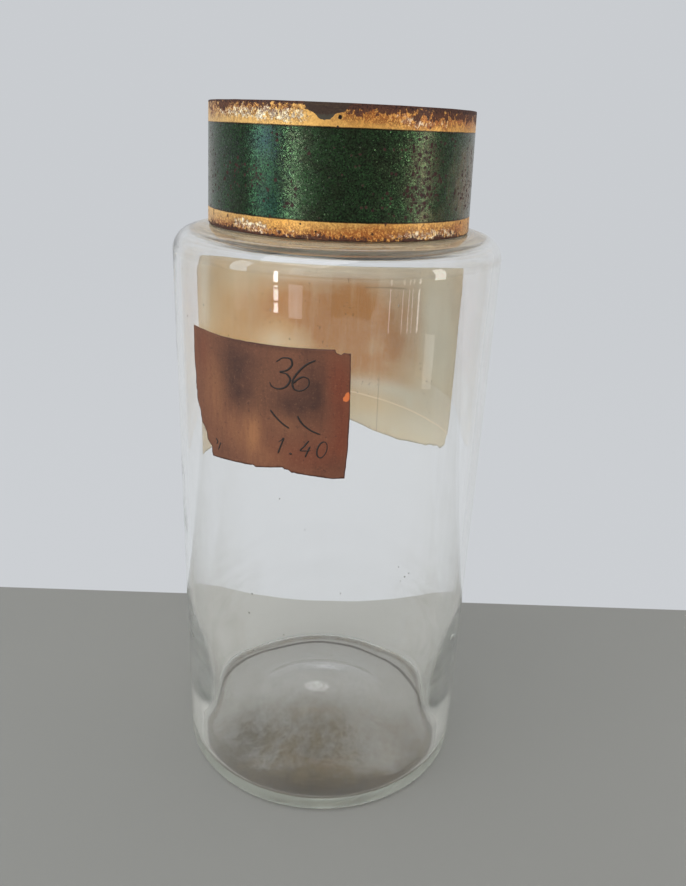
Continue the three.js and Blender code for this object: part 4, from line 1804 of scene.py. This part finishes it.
def pen_stroke(points, width, out_v, out_f, closed=False):
    """A pen stroke as a thin raised ribbon on the label, from points (s, z) in mm."""
    path = spline(points, 0.22)
    n = len(path)
    length = [0.0]
    for a, c in zip(path, path[1:], strict=False):
        length.append(length[-1] + math.dist(a, c))
    total = length[-1]
    base = len(out_v)
    for i, (x, y) in enumerate(path):
        a, c = path[max(0, i - 1)], path[min(n - 1, i + 1)]
        dx, dy = c[0] - a[0], c[1] - a[1]
        d = math.hypot(dx, dy) or 1.0
        nx, ny = -dy / d, dx / d
        t = length[i] / total
        # heavier on the down strokes, tapered at both ends
        press = 0.62 + 0.38 * smooth(-0.2, 0.9, -dy / d)
        taper = min(1.0, (t * total) / 0.7 + 0.35, ((1 - t) * total) / 0.9 + 0.30)
        w = 0.5 * width * press * taper * (1 + 0.22 * perlin(x * 1.7, y * 1.7, 0.0, 99.0))
        for side in (-1, 1):
            px, py = x + side * nx * w, y + side * ny * w
            phi = px / BODY_R
            e = 5.0
            r = outer_r(phi, py) + front_height(px, py, e) + 0.13
            out_v.append(around(phi, r - 0.02, py))
            out_v.append(around(phi, r + 0.035, py))
    for i in range(n - 1):
        a, c = base + 4 * i, base + 4 * (i + 1)
        out_f.append((a + 1, a + 3, c + 3, c + 1))
        out_f.append((a, c, c + 2, a + 2))
        out_f.append((a, a + 1, c + 1, c))
        out_f.append((a + 2, c + 2, c + 3, a + 3))
    out_f.append((base, base + 2, base + 3, base + 1))
    end = base + 4 * (n - 1)
    out_f.append((end, end + 1, end + 3, end + 2))


def oval(cx, cy, rx, ry, start=70, turn=385):
    return [
        (
            cx + rx * math.cos(math.radians(start + turn * k / 18)),
            cy + ry * math.sin(math.radians(start + turn * k / 18)),
        )
        for k in range(19)
    ]


FIGURES = {
    "3": [[(0.06, 0.84), (0.26, 0.99), (0.52, 0.97), (0.60, 0.80), (0.48, 0.62), (0.28, 0.54), (0.50, 0.50), (0.66, 0.34), (0.58, 0.10), (0.34, 0.0), (0.10, 0.06), (0.0, 0.18)]],
    "6": [[(0.62, 0.98), (0.38, 0.84), (0.16, 0.56), (0.06, 0.26), (0.18, 0.03), (0.42, 0.0), (0.60, 0.18), (0.55, 0.38), (0.36, 0.44), (0.18, 0.32), (0.10, 0.20)]],
    "0": [oval(0.33, 0.5, 0.28, 0.49)],
    "1": [[(0.10, 0.74), (0.24, 0.84), (0.36, 1.0), (0.30, 0.5), (0.22, 0.0)]],
    "4": [
        [(0.40, 1.0), (0.22, 0.66), (0.04, 0.36), (0.30, 0.36), (0.66, 0.40)],
        [(0.56, 0.66), (0.48, 0.32), (0.42, -0.04)],
    ],
}


def write(text, s0, z0, height, advance, slant, width, tilt=0.0):
    x = s0
    for ch in text:
        if ch == ".":
            cx, cy = x + 0.3, z0 + (x - s0) * tilt + 0.5
            pen_stroke([(cx - 0.5, cy), (cx, cy + 0.15), (cx + 0.6, cy - 0.1)], width * 2.0, ink_v, ink_f)
            x += advance * 0.55
            continue
        for line_ in FIGURES[ch]:
            pts_ = [
                (
                    x + (px + slant * py) * height * 0.95,
                    z0 + (x - s0) * tilt + py * height,
                )
                for px, py in line_
            ]
            pen_stroke(pts_, width, ink_v, ink_f)
        x += advance


ink_v, ink_f = [], []
write("36", -24.0, 203.2, 12.0, 7.9, 0.24, 0.80, 0.03)
pen_stroke([(-23.2, 194.6), (-21.2, 192.4), (-18.3, 189.9), (-15.6, 188.3)], 0.75, ink_v, ink_f)
pen_stroke([(-12.6, 193.6), (-10.8, 190.8), (-7.6, 188.4), (-3.8, 186.9)], 0.75, ink_v, ink_f)
write("1.40", -21.4, 177.6, 6.6, 6.1, 0.22, 0.62, 0.0)
pen_stroke([(-49.2, 177.4), (-48.2, 175.9), (-49.0, 174.9)], 0.6, ink_v, ink_f)
pen_stroke([(-46.4, 176.2), (-47.2, 174.4), (-47.9, 172.6)], 0.55, ink_v, ink_f)
ink = mesh_object("front_label_ink", ink_v, ink_f, "jar", ())
k = Mat("pen_ink")
tone = k.noise(1.4, 3.0, 0.6, seed=4)
k.set(
    Base_Color=k.mix(tone, rgb(22, 18, 16), rgb(48, 34, 26)),
    Roughness=k.mixf(tone, 0.5, 0.7),
)
ink.data.materials.append(k.m)

# ------------------------------------------------------------------ stage

TABLE_EDGE = 107.0  # mm behind the jar's axis, where the pale board ends and the white ground begins
bpy.ops.mesh.primitive_plane_add(size=40.0, location=(0, 0, -0.0002))
floor = bpy.context.object
floor.name = "studio_floor"
PALE = (0.585, 0.605, 0.632, 1.0)
THROUGH = 1.135  # the ground and the room are this much brighter seen through the glass
SKY = 1.85  # and this much brighter as a light on matt surfaces
f = Mat("studio_floor")
geo = f.new("ShaderNodeNewGeometry")
sp = f.new("ShaderNodeSeparateXYZ")
f.link(geo.outputs["Position"], sp.inputs[0])
f_path = f.new("ShaderNodeLightPath")
seen_through = f_path.outputs["Is Transmission Ray"]
back = f.step(TABLE_EDGE * MM - 0.0006, TABLE_EDGE * MM + 0.0006, sp.outputs[1])
# seen through the glass the board is painted brighter, as painted light standing in for light focused through the
# glass onto it
board = f.mix(seen_through, rgb(118, 117, 112), rgb(159, 157, 151))
f.set(
    Base_Color=f.mix(back, board, rgb(200, 200, 200)),
    Roughness=0.75,
    Specular_IOR_Level=0.25,
)
glow = f.new("ShaderNodeEmission")
glow.inputs[0].default_value = PALE
f.link(f.add(f.mul(seen_through, THROUGH - 1.0), 1.0), glow.inputs[1])
far = f.new("ShaderNodeMixShader")
fade = f.step(0.15, 1.6, sp.outputs[1], 0.93, 1.0)
f.link(f.mul(back, fade), far.inputs[0])
f.link(f.p.outputs[0], far.inputs[1])
f.link(glow.outputs[0], far.inputs[2])
f.link(far.outputs[0], f.out.inputs["Surface"])
floor.data.materials.append(f.m)

world = bpy.data.worlds.new("studio")
scene.world = world
world.use_nodes = True
wn = world.node_tree
wn.nodes.clear()


def wnode(kind, **props):
    n = wn.nodes.new(kind)
    for key, v in props.items():
        setattr(n, key, v)
    return n


w_out = wnode("ShaderNodeOutputWorld")
w_tc = wnode("ShaderNodeTexCoord")
w_sep = wnode("ShaderNodeSeparateXYZ")
wn.links.new(w_tc.outputs["Generated"], w_sep.inputs[0])
w_side = wnode("ShaderNodeMapRange", interpolation_type="SMOOTHSTEP")
wn.links.new(w_sep.outputs[1], w_side.inputs[0])
w_side.inputs[1].default_value = 0.0
w_side.inputs[2].default_value = 0.75
w_room = wnode("ShaderNodeMix", data_type="RGBA")
wn.links.new(w_side.outputs[0], w_room.inputs[0])
w_room.inputs[6].default_value = (0.27, 0.265, 0.26, 1.0)
w_room.inputs[7].default_value = PALE
w_lp = wnode("ShaderNodeLightPath")


def pale(k):
    return tuple(c * k for c in PALE[:3]) + (1.0,)


def w_switch(ray, a, b):
    n = wnode("ShaderNodeMix", data_type="RGBA")
    wn.links.new(w_lp.outputs[ray], n.inputs[0])
    for socket, v in ((n.inputs[6], a), (n.inputs[7], b)):
        if isinstance(v, tuple):
            socket.default_value = v
        else:
            wn.links.new(v, socket)
    return n.outputs[2]


w_pick = w_switch("Is Camera Ray", pale(SKY), PALE)
w_pick = w_switch("Is Glossy Ray", w_pick, w_room.outputs[2])
w_pick = w_switch("Is Transmission Ray", w_pick, pale(THROUGH))
w_bg = wnode("ShaderNodeBackground")
wn.links.new(w_pick, w_bg.inputs[0])
wn.links.new(w_bg.outputs[0], w_out.inputs[0])


def window(name, azimuth, distance, z_low, z_high, width, radiance, colour=(1, 1, 1)):
    """A soft box shaped like a window. Azimuth in degrees from the camera's side, towards +X,
    as seen from the near side of the jar's wall."""
    a = math.radians(azimuth)
    height = z_high - z_low
    light = bpy.data.lights.new(name, "AREA")
    light.shape = "RECTANGLE"
    light.size, light.size_y = width, height
    light.energy = radiance * math.pi * width * height
    light.color = colour
    o = bpy.data.objects.new(name, light)
    scene.collection.objects.link(o)
    # the mirrored ray leaves the wall at about half the azimuth
    foot_x = 0.0685 * math.sin(a / 2)
    foot_y = -0.0685 * math.cos(a / 2)
    o.location = (
        foot_x + distance * math.sin(a),
        foot_y - distance * math.cos(a),
        (z_low + z_high) / 2,
    )
    aim = Vector((foot_x, foot_y, o.location.z)) - o.location
    o.rotation_mode = "QUATERNION"
    o.rotation_quaternion = aim.to_track_quat("-Z", "Y")
    o.visible_camera = False
    o.visible_transmission = False
    return o


COOL, WARM = (0.86, 0.93, 1.0), (1.0, 0.97, 0.93)
# tall light on the left in short bright lengths, and a dimmer, wider one beside it
for i, (lo, hi) in enumerate(((0.026, 0.041), (0.044, 0.061), (0.064, 0.079), (0.105, 0.40))):
    window(f"window_gap_{i}", -40.0, 0.90, lo, hi, 0.052, 13.0 if hi < 0.1 else 19.0)
window("window_pane", -26.5, 0.90, 0.020, 0.098, 0.150, 2.6, COOL)
window("window_pane_up", -26.5, 0.90, 0.30, 0.80, 0.150, 1.2, COOL)
# cool light from the far left
window("window_far_left", -68.0, 0.80, 0.20, 0.75, 0.20, 4.6, (0.70, 0.86, 1.0))
window("window_far_left_low", -66.0, 0.80, 0.05, 0.20, 0.16, 0.55, COOL)
# narrow strips of light on the right
for i, (az, width, power) in enumerate(
    ((35.6, 0.012, 4.2), (44.7, 0.010, 3.8), (49.0, 0.009, 4.4), (51.8, 0.010, 4.4), (56.6, 0.016, 6.5))
):
    window(f"window_slat_{i}", az, 0.85, 0.016, 0.090, width, power)
    window(f"window_slat_up_{i}", az, 0.85, 0.125, 0.20, width * 2, power * 0.8)
window("window_right_top", 72.0, 0.60, 0.17, 0.50, 0.10, 7.5, WARM)
window("window_right_low", 68.0, 0.56, 0.02, 0.085, 0.085, 1.9, WARM)
window("window_right_wide", 66.0, 0.60, 0.02, 0.12, 0.19, 0.35, WARM)
# a lamp high behind, seen only as a soft patch on the pushed-up base
patch_light = window("ceiling_patch", 180.0, 0.88, 0.68, 0.84, 0.18, 1.7)
patch_light.data.shape = "ELLIPSE"
patch_light.location.z = 0.75
patch_light.location.x = -0.03
patch_light.rotation_quaternion = (
    Vector((0, 0, 0.01)) - patch_light.location
).to_track_quat("-Z", "Y")
patch_light.visible_diffuse = False
patch_light.visible_transmission = True

key = bpy.data.lights.new("overhead", "AREA")
key.shape, key.size, key.size_y = "RECTANGLE", 1.3, 1.3
key.energy = 14.0
key_o = bpy.data.objects.new("overhead", key)
scene.collection.objects.link(key_o)
key_o.location = (-0.5, -0.7, 1.7)
key_o.rotation_mode = "QUATERNION"
key_o.rotation_quaternion = (Vector((0, 0, 0.15)) - key_o.location).to_track_quat(
    "-Z", "Y"
)
key_o.visible_camera = False
key_o.visible_transmission = False

# ------------------------------------------------------------------ camera, as the photograph was taken
PSI, TH, ROLL = math.radians(0.9998), math.radians(22.2165), math.radians(2.5149)
fwd = Vector(
    (math.sin(PSI) * math.cos(TH), math.cos(PSI) * math.cos(TH), -math.sin(TH))
)
right = Vector((math.cos(PSI), -math.sin(PSI), 0.0))
upv = right.cross(fwd)
right2 = right * math.cos(ROLL) + upv * math.sin(ROLL)
up2 = upv * math.cos(ROLL) - right * math.sin(ROLL)
cam_data = bpy.data.cameras.new("camera")
cam_data.sensor_width = 36.0
cam_data.lens = 36.0 * 773.485 / 886.0
cam_data.clip_start, cam_data.clip_end = 0.01, 100.0
camera = bpy.data.objects.new("camera", cam_data)
scene.collection.objects.link(camera)
rot = Matrix((right2, up2, -fwd)).transposed()
camera.matrix_world = Matrix.Translation((0.0, -0.33409, 0.29253)) @ rot.to_4x4()
scene.camera = camera

scene.view_settings.view_transform = "Standard"
scene.view_settings.look = "None"
scene.view_settings.exposure = 0.0
scene.view_settings.gamma = 1.0
scene.cycles.use_denoising = True
scene.cycles.max_bounces = 36
scene.cycles.transmission_bounces = 36
scene.cycles.glossy_bounces = 36
scene.cycles.diffuse_bounces = 4
scene.cycles.transparent_max_bounces = 24
scene.cycles.blur_glossy = 0.4
scene.cycles.sample_clamp_indirect = 6.0
